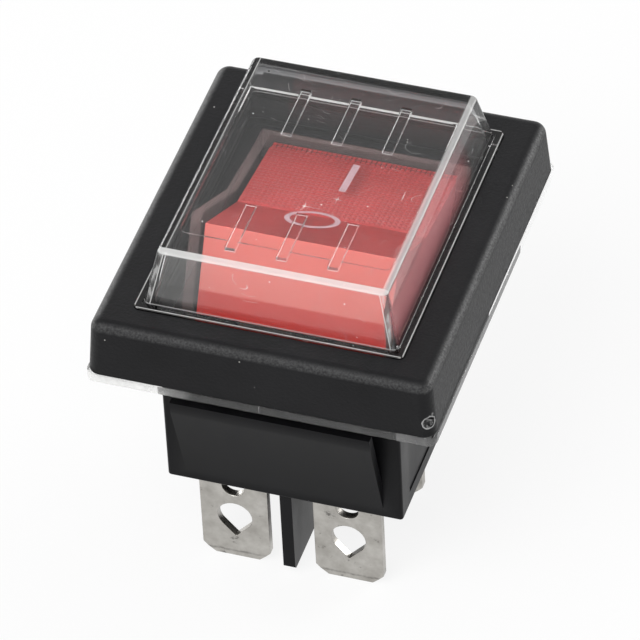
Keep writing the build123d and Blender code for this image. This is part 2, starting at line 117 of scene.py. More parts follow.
class Shader:
    """A material under construction: adds nodes and links them.

    Args:
        name: The material's name.
    """

    def __init__(self, name: str) -> None:
        self.material = bpy.data.materials.new(name)
        self.material.use_nodes = True
        self.nodes = self.material.node_tree.nodes
        self.links = self.material.node_tree.links
        self.nodes.clear()
        self.output = self.nodes.new("ShaderNodeOutputMaterial")
        coordinates = self.nodes.new("ShaderNodeTexCoord").outputs
        self.place = coordinates["Object"]
        self.facing = coordinates["Normal"]

    def node(self, kind: str, inputs: dict | None = None, **settings: object) -> bpy.types.Node:
        """Adds a node.

        Args:
            kind: The node's type without its ShaderNode prefix.
            inputs: Values or sockets for its inputs, by name or index.
            settings: Properties of the node.

        Returns:
            The new node.
        """
        made = self.nodes.new("ShaderNode" + kind)
        for key, value in settings.items():
            setattr(made, key, value)
        for key, value in (inputs or {}).items():
            if isinstance(value, bpy.types.NodeSocket):
                self.links.new(value, made.inputs[key])
            else:
                made.inputs[key].default_value = value
        return made

    def millimetres(
        self, shift: Colour = (0, 0, 0), turn: Colour = (0, 0, 0), stretch: Colour = (1, 1, 1),
    ) -> bpy.types.NodeSocket:
        """Object coordinates in millimetres.

        Args:
            shift: Offset in millimetres, applied before the turn and the stretch.
            turn: Rotation in degrees.
            stretch: Extra scale on each axis.

        Returns:
            The vector socket.
        """
        angles = tuple(math.radians(angle) for angle in turn)
        moved = self.node("Mapping", {"Vector": self.place, "Scale": (1 / MM,) * 3,
                                      "Location": shift})
        turned = self.node("Mapping", {"Vector": moved.outputs[0], "Rotation": angles,
                                       "Scale": stretch})
        return turned.outputs[0]

    def noise(
        self, grain: float, detail: float = 2.0, rough: float = 0.5,
        vector: bpy.types.NodeSocket | None = None,
    ) -> bpy.types.NodeSocket:
        """Noise whose grain is a length.

        Args:
            grain: Size of the largest blobs, in millimetres.
            detail: Octaves.
            rough: Share of the finer octaves.
            vector: Coordinates in millimetres.

        Returns:
            The factor socket.
        """
        made = self.node("TexNoise", {
            "Vector": vector or self.millimetres(), "Scale": 1 / grain,
            "Detail": detail, "Roughness": rough,
        })
        return made.outputs["Fac"]

    def ramp(
        self, factor: bpy.types.NodeSocket, low: float, high: float,
        first: Colour | float, last: Colour | float,
    ) -> bpy.types.NodeSocket:
        """A ramp between two values or two colours.

        Args:
            factor: What drives it.
            low: Where the first value ends.
            high: Where the last value begins.
            first: Value or colour below low.
            last: Value or colour above high.

        Returns:
            The value or colour socket.
        """
        if isinstance(first, tuple):
            made = self.node("MapRange", {
                "Value": factor, "From Min": low, "From Max": high,
            })
            return self.colour_mix(made.outputs[0], first, last)
        made = self.node("MapRange", {
            "Value": factor, "From Min": low, "From Max": high, "To Min": first, "To Max": last,
        })
        return made.outputs[0]

    def colour_mix(
        self, factor: bpy.types.NodeSocket, first: object, last: object,
    ) -> bpy.types.NodeSocket:
        """Mixes two colours, each a tuple or a socket, by a factor."""
        made = self.node("MixRGB", {"Fac": factor})
        for key, value in (("Color1", first), ("Color2", last)):
            if isinstance(value, bpy.types.NodeSocket):
                self.links.new(value, made.inputs[key])
            else:
                made.inputs[key].default_value = (*value, 1.0)
        return made.outputs[0]

    def maths(self, operation: str, *values: object) -> bpy.types.NodeSocket:
        """One arithmetic step on sockets or numbers."""
        made = self.node("Math", dict(enumerate(values)), operation=operation)
        return made.outputs[0]

    def bump(
        self, height: bpy.types.NodeSocket, depth: float, under: bpy.types.NodeSocket | None = None,
    ) -> bpy.types.NodeSocket:
        """A bump whose depth is a length in millimetres.

        Args:
            height: Height from 0 to 1.
            depth: What a height of 1 stands for, in millimetres.
            under: The normal of a coarser bump.

        Returns:
            The normal socket.
        """
        inputs = {"Height": height, "Strength": 1.0, "Distance": depth * MM}
        if under:
            inputs["Normal"] = under
        return self.node("Bump", inputs).outputs[0]

    def principled(self, **inputs: object) -> bpy.types.Node:
        """A Principled shader; underscores in the names stand for spaces."""
        values = {}
        for key, value in inputs.items():
            name = key.replace("_", " ")
            is_colour = isinstance(value, tuple) and len(value) == 3 and "Radius" not in name
            values[name] = (*value, 1.0) if is_colour else value
        return self.node("BsdfPrincipled", values)

    def finish(self, surface: bpy.types.NodeSocket) -> bpy.types.Material:
        """Links the surface and hands over the material."""
        self.links.new(surface, self.output.inputs["Surface"])
        return self.material

    def clear_to_shadows(self, surface: bpy.types.NodeSocket, share: float) -> bpy.types.Material:
        """Finishes a see-through material that lets part of the light through to what it covers.

        Args:
            surface: The glass-like shader.
            share: How much of a shadow ray passes.

        Returns:
            The material.
        """
        rays = self.node("LightPath").outputs["Is Shadow Ray"]
        passing = self.maths("MULTIPLY", rays, share)
        open_way = self.node("BsdfTransparent", {"Color": (0.98, 0.98, 0.98, 1.0)})
        mixed = self.node("MixShader", {0: passing, 1: surface, 2: open_way.outputs[0]})
        return self.finish(mixed.outputs[0])


# Finishes


@dataclass(frozen=True)
class SparkErodedPlastic:
    """Black moulded plastic with a fine spark-eroded skin and a little dust lying on it; its rounded
    edges are pale, partly wear and partly a painted highlight that is lighter on the edges facing left
    and right.
    """

    name: str = "black_spark_eroded_plastic"
    colour: Colour = (0.0065, 0.0065, 0.0072)
    grain: float = 0.28
    depth: float = 0.035
    roughness: float = 0.42
    # Pale edge colours: partly wear and partly a painted highlight, lighter still on the edges that face
    # right and left.
    worn: Colour = (0.05, 0.05, 0.051)
    worn_right: Colour = (0.1, 0.1, 0.1)
    worn_left: Colour = (0.13, 0.13, 0.13)
    dust_colour: Colour = (0.45, 0.44, 0.42)
    dust_pitch: float = 1.5
    scar: tuple[float, float, float] | None = None
    scar_radius: float = 0.62
    nick_offset: tuple[float, float, float] = (0.3, 0.3, 0.75)

    def build(self) -> bpy.types.Material:
        """Builds the material."""
        shader = Shader(self.name)
        skin = shader.noise(self.grain, detail=3.0, rough=0.65)
        cloud = shader.noise(6.0, detail=3.0, rough=0.55)
        base = shader.ramp(cloud, 0.3, 0.75, self.colour,
                           tuple(1.5 * part for part in self.colour))
        # Pale rounded edges, partly wear and partly a painted highlight; edges facing right and left get
        # the lighter painted highlight colours.
        facing = shader.node("SeparateXYZ", {0: shader.facing}).outputs
        level = shader.maths("ABSOLUTE", shader.maths("SUBTRACT", facing[2], 0.55))
        worn = shader.ramp(level, 0.15, 0.4, 1.0, 0.0)
        grain = shader.ramp(shader.noise(0.2, detail=2.0, rough=0.7), 0.35, 0.65, 0.25, 1.0)
        worn = shader.maths("MULTIPLY", worn, grain)
        left = shader.ramp(facing[0], -0.7, -0.4, 1.0, 0.0)
        right = shader.ramp(facing[0], 0.4, 0.7, 0.0, 1.0)
        pale = shader.colour_mix(right, self.worn, self.worn_right)
        base = shader.colour_mix(worn, base, shader.colour_mix(left, pale, self.worn_left))
        specks = shader.node("TexVoronoi", {
            "Vector": shader.millimetres(), "Scale": 1 / self.dust_pitch, "Randomness": 1.0,
        })
        near = shader.maths("LESS_THAN", specks.outputs["Distance"], 0.045)
        chosen = shader.node("SeparateColor", {"Color": specks.outputs["Color"]})
        rare = shader.maths("GREATER_THAN", chosen.outputs[0], 0.72)
        dust = shader.maths("MULTIPLY", near, rare)
        coloured = shader.colour_mix(dust, base, self.dust_colour)
        if self.scar:
            coloured = self.burr(shader, coloured)
        rough = shader.ramp(skin, 0.25, 0.75, self.roughness - 0.07, self.roughness + 0.09)
        body = shader.principled(
            Base_Color=coloured, Roughness=rough, Specular_IOR_Level=0.12,
            Sheen_Weight=0.04, Sheen_Roughness=0.4,
            Normal=shader.bump(skin, self.depth),
        )
        return shader.finish(body.outputs[0])

    def burr(self, shader: Shader, under: bpy.types.NodeSocket) -> bpy.types.NodeSocket:
        """The pale stressed ring round the gate scar.

        Args:
            shader: The material under construction.
            under: The colour below the ring.

        Returns:
            The colour socket with the ring.
        """
        offset = shader.node("VectorMath", {
            0: shader.millimetres(), 1: self.scar,
        }, operation="DISTANCE")
        wobble = shader.ramp(shader.noise(0.3), 0.3, 0.7, -0.05, 0.05)
        distance = shader.maths("ADD", offset.outputs["Value"], wobble)
        from_ring = shader.maths("ABSOLUTE", shader.maths("SUBTRACT", distance, self.scar_radius))
        ring = shader.ramp(from_ring, 0.03, 0.08, 1.0, 0.0)
        beside = tuple(a + b for a, b in zip(self.scar, self.nick_offset))
        nick = shader.node("VectorMath", {
            0: shader.millimetres(), 1: beside,
        }, operation="DISTANCE")
        spot = shader.ramp(nick.outputs["Value"], 0.12, 0.22, 0.8, 0.0)
        pale = shader.maths("MAXIMUM", ring, spot)
        return shader.colour_mix(pale, under, (0.34, 0.34, 0.34))


@dataclass(frozen=True)
class SatinNylon:
    """Smooth black nylon with faint flow marks."""

    name: str = "black_satin_nylon"
    colour: Colour = (0.005, 0.005, 0.0056)
    roughness: float = 0.33

    def build(self) -> bpy.types.Material:
        """Builds the material."""
        shader = Shader(self.name)
        flow = shader.noise(2.4, detail=4.0, vector=shader.millimetres(stretch=(1, 0.5, 0.25)))
        grain = shader.noise(0.07, detail=2.0)
        base = shader.ramp(flow, 0.3, 0.72, self.colour, tuple(1.6 * part for part in self.colour))
        rough = shader.ramp(flow, 0.3, 0.7, self.roughness - 0.05, self.roughness + 0.09)
        body = shader.principled(
            Base_Color=base, Roughness=rough, Specular_IOR_Level=0.09,
            Normal=shader.bump(grain, 0.003),
        )
        return shader.finish(body.outputs[0])


@dataclass(frozen=True)
class ClearVinyl:
    """Clear soft vinyl with dust specks, hairs and one dark speck on it, and painted light: painted
    highlights along its edges, ribs and rim, a painted sheen on the near and right walls, a painted red
    reflection on the right wall and painted shade at the far top and over the collar.

    Args:
        name: The material's name.
        tint: What passes through it.
        roughness: Least roughness.
        index: Refraction of the thin wall.
        dust_colour: Dust, and the painted highlights and painted sheen on its edges, ribs, rim and
            walls.
        rim_top: Height below which the rim carries a painted highlight, in millimetres.
        hair_width: Half width of a hair as a share of its noise.
        cap_top: Height, width and length of the cap's roof.
        cap_foot: Height, width and length of the cap's foot.
        wall: Wall of the cap.
        pad: Width and length of the pad under the roof.
        roof_under: Height of the roof's underside.
        rib_pitch: Distance from rib to rib.
        rib_size: Width and length of a rib.
        rib_depth: Depth of a rib.
        rib_middle: Distance of a rib's middle from the cap's middle.
        collar: Width and length of the collar round the cap's foot.
        soot: Place of the one dark speck on the roof.
    """

    name: str = "clear_vinyl"
    tint: Colour = (0.99, 0.99, 0.99)
    roughness: float = 0.01
    index: float = 1.12
    dust_colour: Colour = (0.78, 0.78, 0.77)
    rim_top: float = 0.9
    hair_width: float = 0.0016
    cap_top: tuple[float, float, float] = (11.8, 20.5, 26.57)
    cap_foot: tuple[float, float, float] = (6.53, 22.9, 28.8)
    wall: float = 0.66
    pad: tuple[float, float] = (18.9, 19.5)
    roof_under: float = 11.12
    rib_pitch: float = 4.6
    rib_size: tuple[float, float] = (0.93, 5.9)
    rib_depth: float = 0.45
    rib_middle: float = 7.7
    collar: tuple[float, float] = (24.1, 30.1)
    soot: Colour = (-8.35, 11.55, 11.8)

    def build(self) -> bpy.types.Material:
        """Builds the material."""
        shader = Shader(self.name)
        wave = shader.noise(5.0, detail=1.0)
        haze = shader.noise(1.6, detail=4.0, rough=0.6)
        rough = shader.ramp(haze, 0.35, 0.75, self.roughness, self.roughness + 0.03)
        glass = shader.principled(
            Base_Color=self.passing(shader), Roughness=rough, IOR=self.index,
            Transmission_Weight=1.0, Coat_Weight=0.6, Coat_IOR=1.45, Coat_Roughness=0.02,
            Normal=shader.bump(wave, 0.012),
        )
        # Dust, hairs and soot, together with painted highlights, a painted sheen and a painted red
        # reflection, make one diffuse coat over the glass.
        dust_and_painted_light = shader.maths("MAXIMUM", self.specks(shader), self.hairs(shader))
        for pale in (self.rim(shader), self.edges(shader), self.rib_highlights(shader),
                     self.painted_sheen(shader)):
            dust_and_painted_light = shader.maths("MAXIMUM", dust_and_painted_light, pale)
        from_soot = shader.node("VectorMath", {0: shader.millimetres(), 1: self.soot},
                                operation="DISTANCE")
        soot = shader.ramp(from_soot.outputs["Value"], 0.1, 0.17, 1.0, 0.0)
        glow = self.glow(shader)
        # The coat's colour: the dust colour, also used for the painted highlights and sheen; red for the
        # painted reflection; near black for the soot.
        dust_and_painted_light_colour = shader.colour_mix(shader.maths("GREATER_THAN", glow, dust_and_painted_light), self.dust_colour,
                                    (0.8, 0.3, 0.32))
        dust_and_painted_light_colour = shader.colour_mix(soot, dust_and_painted_light_colour, (0.01, 0.01, 0.01))
        dust_and_painted_light = shader.maths("MAXIMUM", shader.maths("MAXIMUM", dust_and_painted_light, soot), glow)
        dust = shader.node("BsdfDiffuse", {"Color": dust_and_painted_light_colour})
        mixed = shader.node("MixShader", {0: dust_and_painted_light, 1: glass.outputs[0], 2: dust.outputs[0]})
        return shader.clear_to_shadows(mixed.outputs[0], 0.92)

    def specks(self, shader: Shader) -> bpy.types.NodeSocket:
        """How much dust covers each point, from 0 to 1."""
        cells = shader.node("TexVoronoi", {
            "Vector": shader.millimetres(), "Scale": 1 / 1.3, "Randomness": 1.0,
        })
        size = shader.node("SeparateColor", {"Color": cells.outputs["Color"]})
        limit = shader.ramp(size.outputs[0], 0.6, 1.0, 0.0, 0.07)
        inside = shader.maths("LESS_THAN", cells.outputs["Distance"], limit)
        return shader.maths("MULTIPLY", inside, 0.75)

    def hairs(self, shader: Shader) -> bpy.types.NodeSocket:
        """How much hair-like scratches cover each point, from 0 to 1."""
        level = shader.noise(2.6, detail=0.0, vector=shader.millimetres(shift=(4, 9, 2)))
        offset = shader.maths("ABSOLUTE", shader.maths("SUBTRACT", level, 0.5))
        line = shader.maths("LESS_THAN", offset, self.hair_width)
        patch = shader.noise(1.9, detail=0.0, vector=shader.millimetres(shift=(31, 5, 12)))
        rare = shader.maths("GREATER_THAN", patch, 0.69)
        return shader.maths("MULTIPLY", shader.maths("MULTIPLY", line, rare), 0.55)

    def passing(self, shader: Shader) -> bpy.types.NodeSocket:
        """The colour that passes, with painted shade: grey where the far wall meets the roof and nearly
        black over the collar.
        """
        place = shader.node("SeparateXYZ", {0: shader.millimetres()}).outputs
        high = shader.ramp(place[2], self.cap_top[0] - 3.6, self.cap_top[0] - 1.8, 0.0, 1.0)
        far = shader.maths("GREATER_THAN", place[1], self.cap_top[2] / 2 - self.wall - 0.15)
        # Painted shade: grey where the far wall meets the roof.
        clear = shader.colour_mix(shader.maths("MULTIPLY", high, far), self.tint,
                                  (0.17, 0.17, 0.175))
        # Painted shade: nearly black over the collar.
        over_cap = shader.maths(
            "MAXIMUM",
            shader.maths("SUBTRACT", shader.maths("ABSOLUTE", place[0]), self.cap_foot[1] / 2),
            shader.maths("SUBTRACT", shader.maths("ABSOLUTE", place[1]), self.cap_foot[2] / 2),
        )
        collar = shader.maths("MULTIPLY", shader.ramp(over_cap, 0.0, 0.05, 0.0, 1.0),
                              shader.maths("GREATER_THAN", place[2], self.cap_foot[0] - 1.2))
        return shader.colour_mix(collar, clear, (0.06, 0.055, 0.056))

    def painted_sheen(self, shader: Shader) -> bpy.types.NodeSocket:
        """How much painted sheen covers the near and the right wall, from 0 to 1."""
        facing = shader.node("SeparateXYZ", {0: shader.facing}).outputs
        place = shader.node("SeparateXYZ", {0: shader.millimetres()}).outputs
        near = shader.maths("MULTIPLY", shader.ramp(facing[1], -0.9, -0.7, 1.0, 0.0),
                            shader.maths("LESS_THAN", place[1], 0.0))
        near = shader.maths("MULTIPLY", near, shader.ramp(place[0], -8.0, -5.0, 0.055, 0.03))
        right = shader.maths("MULTIPLY", shader.ramp(facing[0], 0.7, 0.9, 0.0, 0.04),
                             shader.maths("GREATER_THAN", place[0], 0.0))
        cloud = shader.ramp(shader.noise(2.6, detail=3.0), 0.3, 0.7, 0.7, 1.15)
        on_cap = shader.ramp(place[2], self.cap_foot[0], self.cap_foot[0] + 0.6, 0.0, 1.0)
        share = shader.maths("MULTIPLY", shader.maths("MAXIMUM", near, right), cloud)
        return shader.maths("MULTIPLY", share, on_cap)

    def glow(self, shader: Shader) -> bpy.types.NodeSocket:
        """How much painted reflection of the rocker's red lies on the right wall, from 0 to 1."""
        facing = shader.node("SeparateXYZ", {0: shader.facing}).outputs
        place = shader.node("SeparateXYZ", {0: shader.millimetres()}).outputs
        outer = shader.maths("MULTIPLY", shader.ramp(facing[0], 0.7, 0.9, 0.0, 1.0),
                             shader.maths("GREATER_THAN", place[0], self.cap_top[1] / 2 - 0.1))
        along = shader.ramp(place[1], 4.0, 9.0, 0.19, 0.0)
        on_cap = shader.ramp(place[2], self.cap_foot[0] + 0.1, self.cap_foot[0] + 1.2, 0.0, 1.0)
        return shader.maths("MULTIPLY", shader.maths("MULTIPLY", outer, along), on_cap)

    def rim(self, shader: Shader) -> bpy.types.NodeSocket:
        """How pale the rim is at each point, from 0 to 1: a painted highlight, strong on the left and
        faint on the right.
        """
        place = shader.node("SeparateXYZ", {0: shader.millimetres()}).outputs
        low = shader.ramp(place[2], self.rim_top - 0.1, self.rim_top, 1.0, 0.0)
        share = shader.ramp(place[0], -14.0, -6.0, 0.8, 0.04)
        cloud = shader.ramp(shader.noise(1.4, detail=2.0), 0.3, 0.7, 0.55, 1.0)
        return shader.maths("MULTIPLY", shader.maths("MULTIPLY", low, share), cloud)

    def inside_by(
        self, shader: Shader, place: bpy.types.NodeSocket, below_top: bpy.types.NodeSocket,
        axis: int,
    ) -> bpy.types.NodeSocket:
        """How far a point lies inside the cap's leaning wall.

        Args:
            shader: The material under construction.
            place: The point's place on this axis.
            below_top: How far the point lies below the roof.
            axis: 1 for the long walls, 2 for the end walls.

        Returns:
            The distance in millimetres.
        """
        drop = self.cap_top[0] - self.cap_foot[0]
        lean = (self.cap_foot[axis] - self.cap_top[axis]) / 2 / drop
        half = shader.maths("MULTIPLY_ADD", below_top, lean, self.cap_top[axis] / 2)
        return shader.maths("SUBTRACT", half, shader.maths("ABSOLUTE", place))

    def edges(self, shader: Shader) -> bpy.types.NodeSocket:
        """How bright the painted highlights on the cap's edges are at each point, from 0 to 1."""
        place = shader.node("SeparateXYZ", {0: shader.millimetres()}).outputs
        below_top = shader.maths("SUBTRACT", self.cap_top[0], place[2])
        side = self.inside_by(shader, place[0], below_top, 1)
        end = self.inside_by(shader, place[1], below_top, 2)
        on_roof = shader.ramp(below_top, 0.16, 0.28, 1.0, 0.0)
        near = shader.maths("LESS_THAN", place[1], 0.0)
        right = shader.maths("GREATER_THAN", place[0], 0.0)
        left = shader.maths("LESS_THAN", place[0], 0.0)
        over_end = shader.ramp(end, self.wall - 0.06, self.wall + 0.02, 1.0, 0.0)
        over_side = shader.ramp(side, self.wall - 0.2, self.wall - 0.05, 1.0, 0.0)
        # Painted highlight bands along the near and the right edge of the roof.
        near_band = shader.maths("MULTIPLY", shader.maths("MULTIPLY", over_end, near), 0.66)
        right_band = shader.maths("MULTIPLY", shader.maths("MULTIPLY", over_side, right), 0.42)
        bands = shader.maths("MULTIPLY", shader.maths("MAXIMUM", near_band, right_band), on_roof)
        nearest = shader.maths("MINIMUM", side, end)
        farther = shader.maths("MAXIMUM", side, end)
        second = shader.maths("MAXIMUM", nearest, shader.maths("MINIMUM", farther, below_top))
        outer = self.line(shader, second, 0.06, 0.4)
        inner_left = shader.maths("MULTIPLY", self.line(shader, side, self.wall, 0.45), left)
        inner_left = shader.maths("MULTIPLY", inner_left, on_roof)
        on_near_wall = shader.maths("MULTIPLY", shader.ramp(end, 0.1, 0.2, 1.0, 0.0), near)
        streaks = shader.ramp(shader.noise(0.5, vector=shader.millimetres(stretch=(1, 1, 0.1))),
                              0.42, 0.58, 0.05, 0.36)
        thick = shader.ramp(side, self.wall - 0.1, self.wall, 1.0, 0.0)
        corner = shader.maths("MULTIPLY", shader.maths("MULTIPLY", thick, streaks), on_near_wall)
        post = shader.maths("MULTIPLY", self.line(shader, side, self.wall, 0.6), on_near_wall)
        lines = shader.maths("MAXIMUM", shader.maths("MAXIMUM", bands, corner), outer)
        lines = shader.maths("MAXIMUM", lines, shader.maths("MAXIMUM", inner_left, post))
        in_cap = shader.maths("GREATER_THAN", place[2], self.cap_foot[0] + 0.05)
        lines = shader.maths("MULTIPLY", lines, in_cap)
        foot = shader.maths("MULTIPLY", self.line(shader, place[2], self.cap_foot[0] + 0.08, 0.4),
                            self.line(shader, nearest, 0.0, 1.0, 0.1))
        from_rim = shader.maths(
            "MAXIMUM",
            shader.maths("SUBTRACT", shader.maths("ABSOLUTE", place[0]), self.collar[0] / 2),
            shader.maths("SUBTRACT", shader.maths("ABSOLUTE", place[1]), self.collar[1] / 2),
        )
        collar = shader.maths("MULTIPLY", self.line(shader, from_rim, -0.06, 0.48),
                              self.line(shader, place[2], self.cap_foot[0], 1.0, 0.12))
        return shader.maths("MAXIMUM", lines, shader.maths("MAXIMUM", foot, collar))

    def line(
        self, shader: Shader, value: bpy.types.NodeSocket, middle: float, share: float,
        half: float = 0.03,
    ) -> bpy.types.NodeSocket:
        """A soft thin line where a distance has a given value.

        Args:
            shader: The material under construction.
            value: The distance in millimetres.
            middle: Where the line lies.
            share: How pale it is.
            half: Half its width.

        Returns:
            How pale each point is, from 0 to share.
        """
        offset = shader.maths("ABSOLUTE", shader.maths("SUBTRACT", value, middle))
        return shader.ramp(offset, half, half + 0.04, share, 0.0)

    def rib_highlights(self, shader: Shader) -> bpy.types.NodeSocket:
        """How bright the painted highlights on the edges of the ribs and of the pad under the roof are,
        from 0 to 1.
        """
        place = shader.node("SeparateXYZ", {0: shader.millimetres()}).outputs
        across = shader.maths("ABSOLUTE", place[0])
        along = shader.maths("ABSOLUTE", place[1])
        from_middle = shader.maths("ABSOLUTE", shader.maths("SUBTRACT", along, self.rib_middle))
        beyond = shader.maths("SUBTRACT", from_middle, self.rib_size[1] / 2)
        lines = None
        for rib in (0.0, self.rib_pitch):
            beside = shader.maths("SUBTRACT", shader.maths(
                "ABSOLUTE", shader.maths("SUBTRACT", across, rib)), self.rib_size[0] / 2)
            line = self.line(shader, shader.maths("MAXIMUM", beside, beyond), 0.0, 0.36, 0.02)
            lines = shader.maths("MAXIMUM", lines, line) if lines else line
        lines = shader.maths("MULTIPLY", lines, self.line(
            shader, place[2], self.roof_under - self.rib_depth, 1.0, 0.08))
        from_pad = shader.maths("MAXIMUM", shader.maths("SUBTRACT", across, self.pad[0] / 2),
                                shader.maths("SUBTRACT", along, self.pad[1] / 2))
        pad = shader.maths("MULTIPLY", self.line(shader, from_pad, 0.0, 0.5),
                           self.line(shader, place[2], self.roof_under, 1.0, 0.14))
        far_side = shader.ramp(place[1], 6.0, 7.0, 0.0, 1.0)
        return shader.maths("MAXIMUM", lines, shader.maths("MULTIPLY", pad, far_side))


@dataclass(frozen=True)
class SmokyLens:
    """The rocker's clear, slightly smoky lens, milkier where no red lies under it.

    Args:
        insert_end: Distance of the insert's far end from the middle of the upright rocker.
        pivot_height: Height of the pivot.
        tilt: The resting tilt.
        name: The material's name.
        tint: What passes through it.
        roughness: Least roughness.
        index: Refraction of the thin wall.
        insert_half: Half the insert's width.
    """

    insert_end: float
    pivot_height: float
    tilt: float

    name: str = "smoky_clear_plastic"
    tint: Colour = (0.95, 0.9, 0.89)
    roughness: float = 0.03
    index: float = 1.0
    insert_half: float = 8.65

    def build(self) -> bpy.types.Material:
        """Builds the material."""
        shader = Shader(self.name)
        haze = shader.noise(2.2, detail=3.0)
        rough = shader.ramp(haze, 0.35, 0.7, self.roughness, self.roughness + 0.05)
        glass = shader.principled(
            Base_Color=self.tint, Roughness=rough, IOR=self.index, Transmission_Weight=1.0,
            Coat_Weight=0.02, Coat_IOR=1.4, Coat_Roughness=0.05,
            Normal=shader.bump(haze, 0.006),
        )
        place = shader.node("SeparateXYZ", {0: shader.millimetres()}).outputs
        beside = shader.maths("SUBTRACT", shader.maths("ABSOLUTE", place[0]), self.insert_half)
        upright = shader.node("SeparateXYZ", {0: shader.millimetres(
            shift=(0, 0, -self.pivot_height), turn=(self.tilt, 0, 0),
        )}).outputs
        beyond = shader.maths("SUBTRACT", upright[1], self.insert_end)
        bare = shader.maths("MAXIMUM", beside, beyond)
        share = shader.ramp(bare, -0.03, 0.05, 0.008, 0.13)
        milk = shader.node("BsdfDiffuse", {"Color": (0.45, 0.32, 0.31, 1.0)})
        mixed = shader.node("MixShader", {0: share, 1: glass.outputs[0], 2: milk.outputs[0]})
        return shader.clear_to_shadows(mixed.outputs[0], 0.9)


@dataclass(frozen=True)
class RedPlastic:
    """Translucent red plastic with painted light on its near end wall, a painted shadow low on that wall
    and painted shade on the steep near flat.

    Args:
        name: The material's name.
        colour: The red of the flats.
        deep: The red in its darker clouds.
        steep: The red of the steep near flat, darkened as painted shade.
        end_wall_painted_light: The red of the thin end wall, lightened as painted light.
        foot: The red of the end wall below the painted shadow's edge, a painted shadow.
        painted_shadow_height: Height of the painted shadow's edge on the end wall.
        roughness: Least roughness.
    """

    name: str = "translucent_red_plastic"
    colour: Colour = (0.41, 0.024, 0.024)
    deep: Colour = (0.34, 0.017, 0.017)
    steep: Colour = (0.24, 0.005, 0.005)
    end_wall_painted_light: Colour = (0.56, 0.135, 0.115)
    foot: Colour = (0.47, 0.034, 0.028)
    painted_shadow_height: float = 3.3
    roughness: float = 0.3

    def build(self) -> bpy.types.Material:
        """Builds the material."""
        shader = Shader(self.name)
        cloud = shader.noise(3.5, detail=3.0)
        base = shader.ramp(cloud, 0.3, 0.7, self.deep, self.colour)
        # Painted shade: the steep near flat, turned away from the light, gets a darker red.
        facing = shader.node("SeparateXYZ", {0: shader.facing}).outputs[1]
        base = shader.colour_mix(shader.ramp(facing, 0.3, 0.4, 0.0, 1.0), base, self.steep)
        # The near end wall gets a lighter red as painted light, and a darker red below a given height as
        # a painted shadow.
        height = shader.node("SeparateXYZ", {0: shader.millimetres()}).outputs[2]
        wall = shader.ramp(height, self.painted_shadow_height - 0.06, self.painted_shadow_height + 0.06,
                           self.foot, self.end_wall_painted_light)
        base = shader.colour_mix(shader.ramp(facing, -0.8, -0.6, 1.0, 0.0), base, wall)
        rough = shader.ramp(cloud, 0.3, 0.7, self.roughness, self.roughness + 0.12)
        body = shader.principled(
            Base_Color=base, Roughness=rough, Subsurface_Weight=0.35,
            Subsurface_Radius=(1.0, 0.25, 0.2), Subsurface_Scale=0.8 * MM,
            Normal=shader.bump(shader.noise(0.35, detail=2.0), 0.01),
        )
        return shader.finish(body.outputs[0])


@dataclass(frozen=True)
class PrintedInk:
    """Pale stamped ink, a little worn."""

    name: str = "pale_ink"
    colour: Colour = (0.38, 0.235, 0.26)

    def build(self) -> bpy.types.Material:
        """Builds the material."""
        shader = Shader(self.name)
        wear = shader.noise(0.5, detail=4.0, rough=0.65)
        base = shader.ramp(wear, 0.35, 0.7, tuple(0.8 * part for part in self.colour), self.colour)
        body = shader.principled(
            Base_Color=base, Roughness=0.5, Normal=shader.bump(wear, 0.004),
        )
        return shader.finish(body.outputs[0])


@dataclass(frozen=True)
class HandledMetal:
    """A metal with fine rolling marks, cloudy tarnish and dark smudges.

    Args:
        name: The material's name.
        colour: The clean metal.
        tarnish: The metal where it has dulled.
        smudge: The dark handling marks.
        roughness: Middle roughness.
        smudge_share: How much of the surface the smudges take, from 0 to 1.
        roll: Stretch of the rolling marks on each axis.
        tip: Height of the coined tip's end, in millimetres, where there is one.
    """

    name: str
    colour: Colour
    tarnish: Colour
    smudge: Colour = (0.1, 0.095, 0.09)
    roughness: float = 0.34
    smudge_share: float = 0.3
    roll: Colour = (1.0, 1.0, 0.12)
    tip: float | None = None

    def build(self) -> bpy.types.Material:
        """Builds the material."""
        shader = Shader(self.name)
        marks = shader.noise(0.09, detail=2.0, vector=shader.millimetres(stretch=self.roll))
        cloud = shader.noise(2.0, detail=4.0, rough=0.6)
        soil = shader.noise(1.1, detail=5.0, rough=0.7, vector=shader.millimetres(shift=(7, 3, 1)))
        base = shader.ramp(cloud, 0.35, 0.7, self.colour, self.tarnish)
        edge = 0.78 - 0.4 * self.smudge_share
        smudged = shader.ramp(soil, edge, edge + 0.09, 0.0, 0.8)
        if self.tip is not None:
            smudged = shader.maths("MAXIMUM", smudged, self.coined_line(shader))
        coloured = shader.colour_mix(smudged, base, self.smudge)
        rough = shader.ramp(cloud, 0.3, 0.75, self.roughness - 0.06, self.roughness + 0.12)
        body = shader.principled(
            Base_Color=coloured, Metallic=1.0, Roughness=rough,
            Normal=shader.bump(marks, 0.004),
        )
        return shader.finish(body.outputs[0])


    def coined_line(self, shader: Shader) -> bpy.types.NodeSocket:
        """The broken dark line above the coined tip, from 0 to 1."""
        height = shader.node("SeparateXYZ", {0: shader.millimetres()}).outputs[2]
        wobble = shader.ramp(shader.noise(1.2), 0.3, 0.7, -0.08, 0.08)
        above = shader.maths("SUBTRACT", shader.maths("ADD", height, wobble), self.tip + 0.75)
        line = shader.ramp(shader.maths("ABSOLUTE", above), 0.02, 0.2, 0.6, 0.0)
        broken = shader.ramp(shader.noise(1.0, detail=3.0), 0.35, 0.6, 0.15, 1.0)
        return shader.maths("MULTIPLY", line, broken)


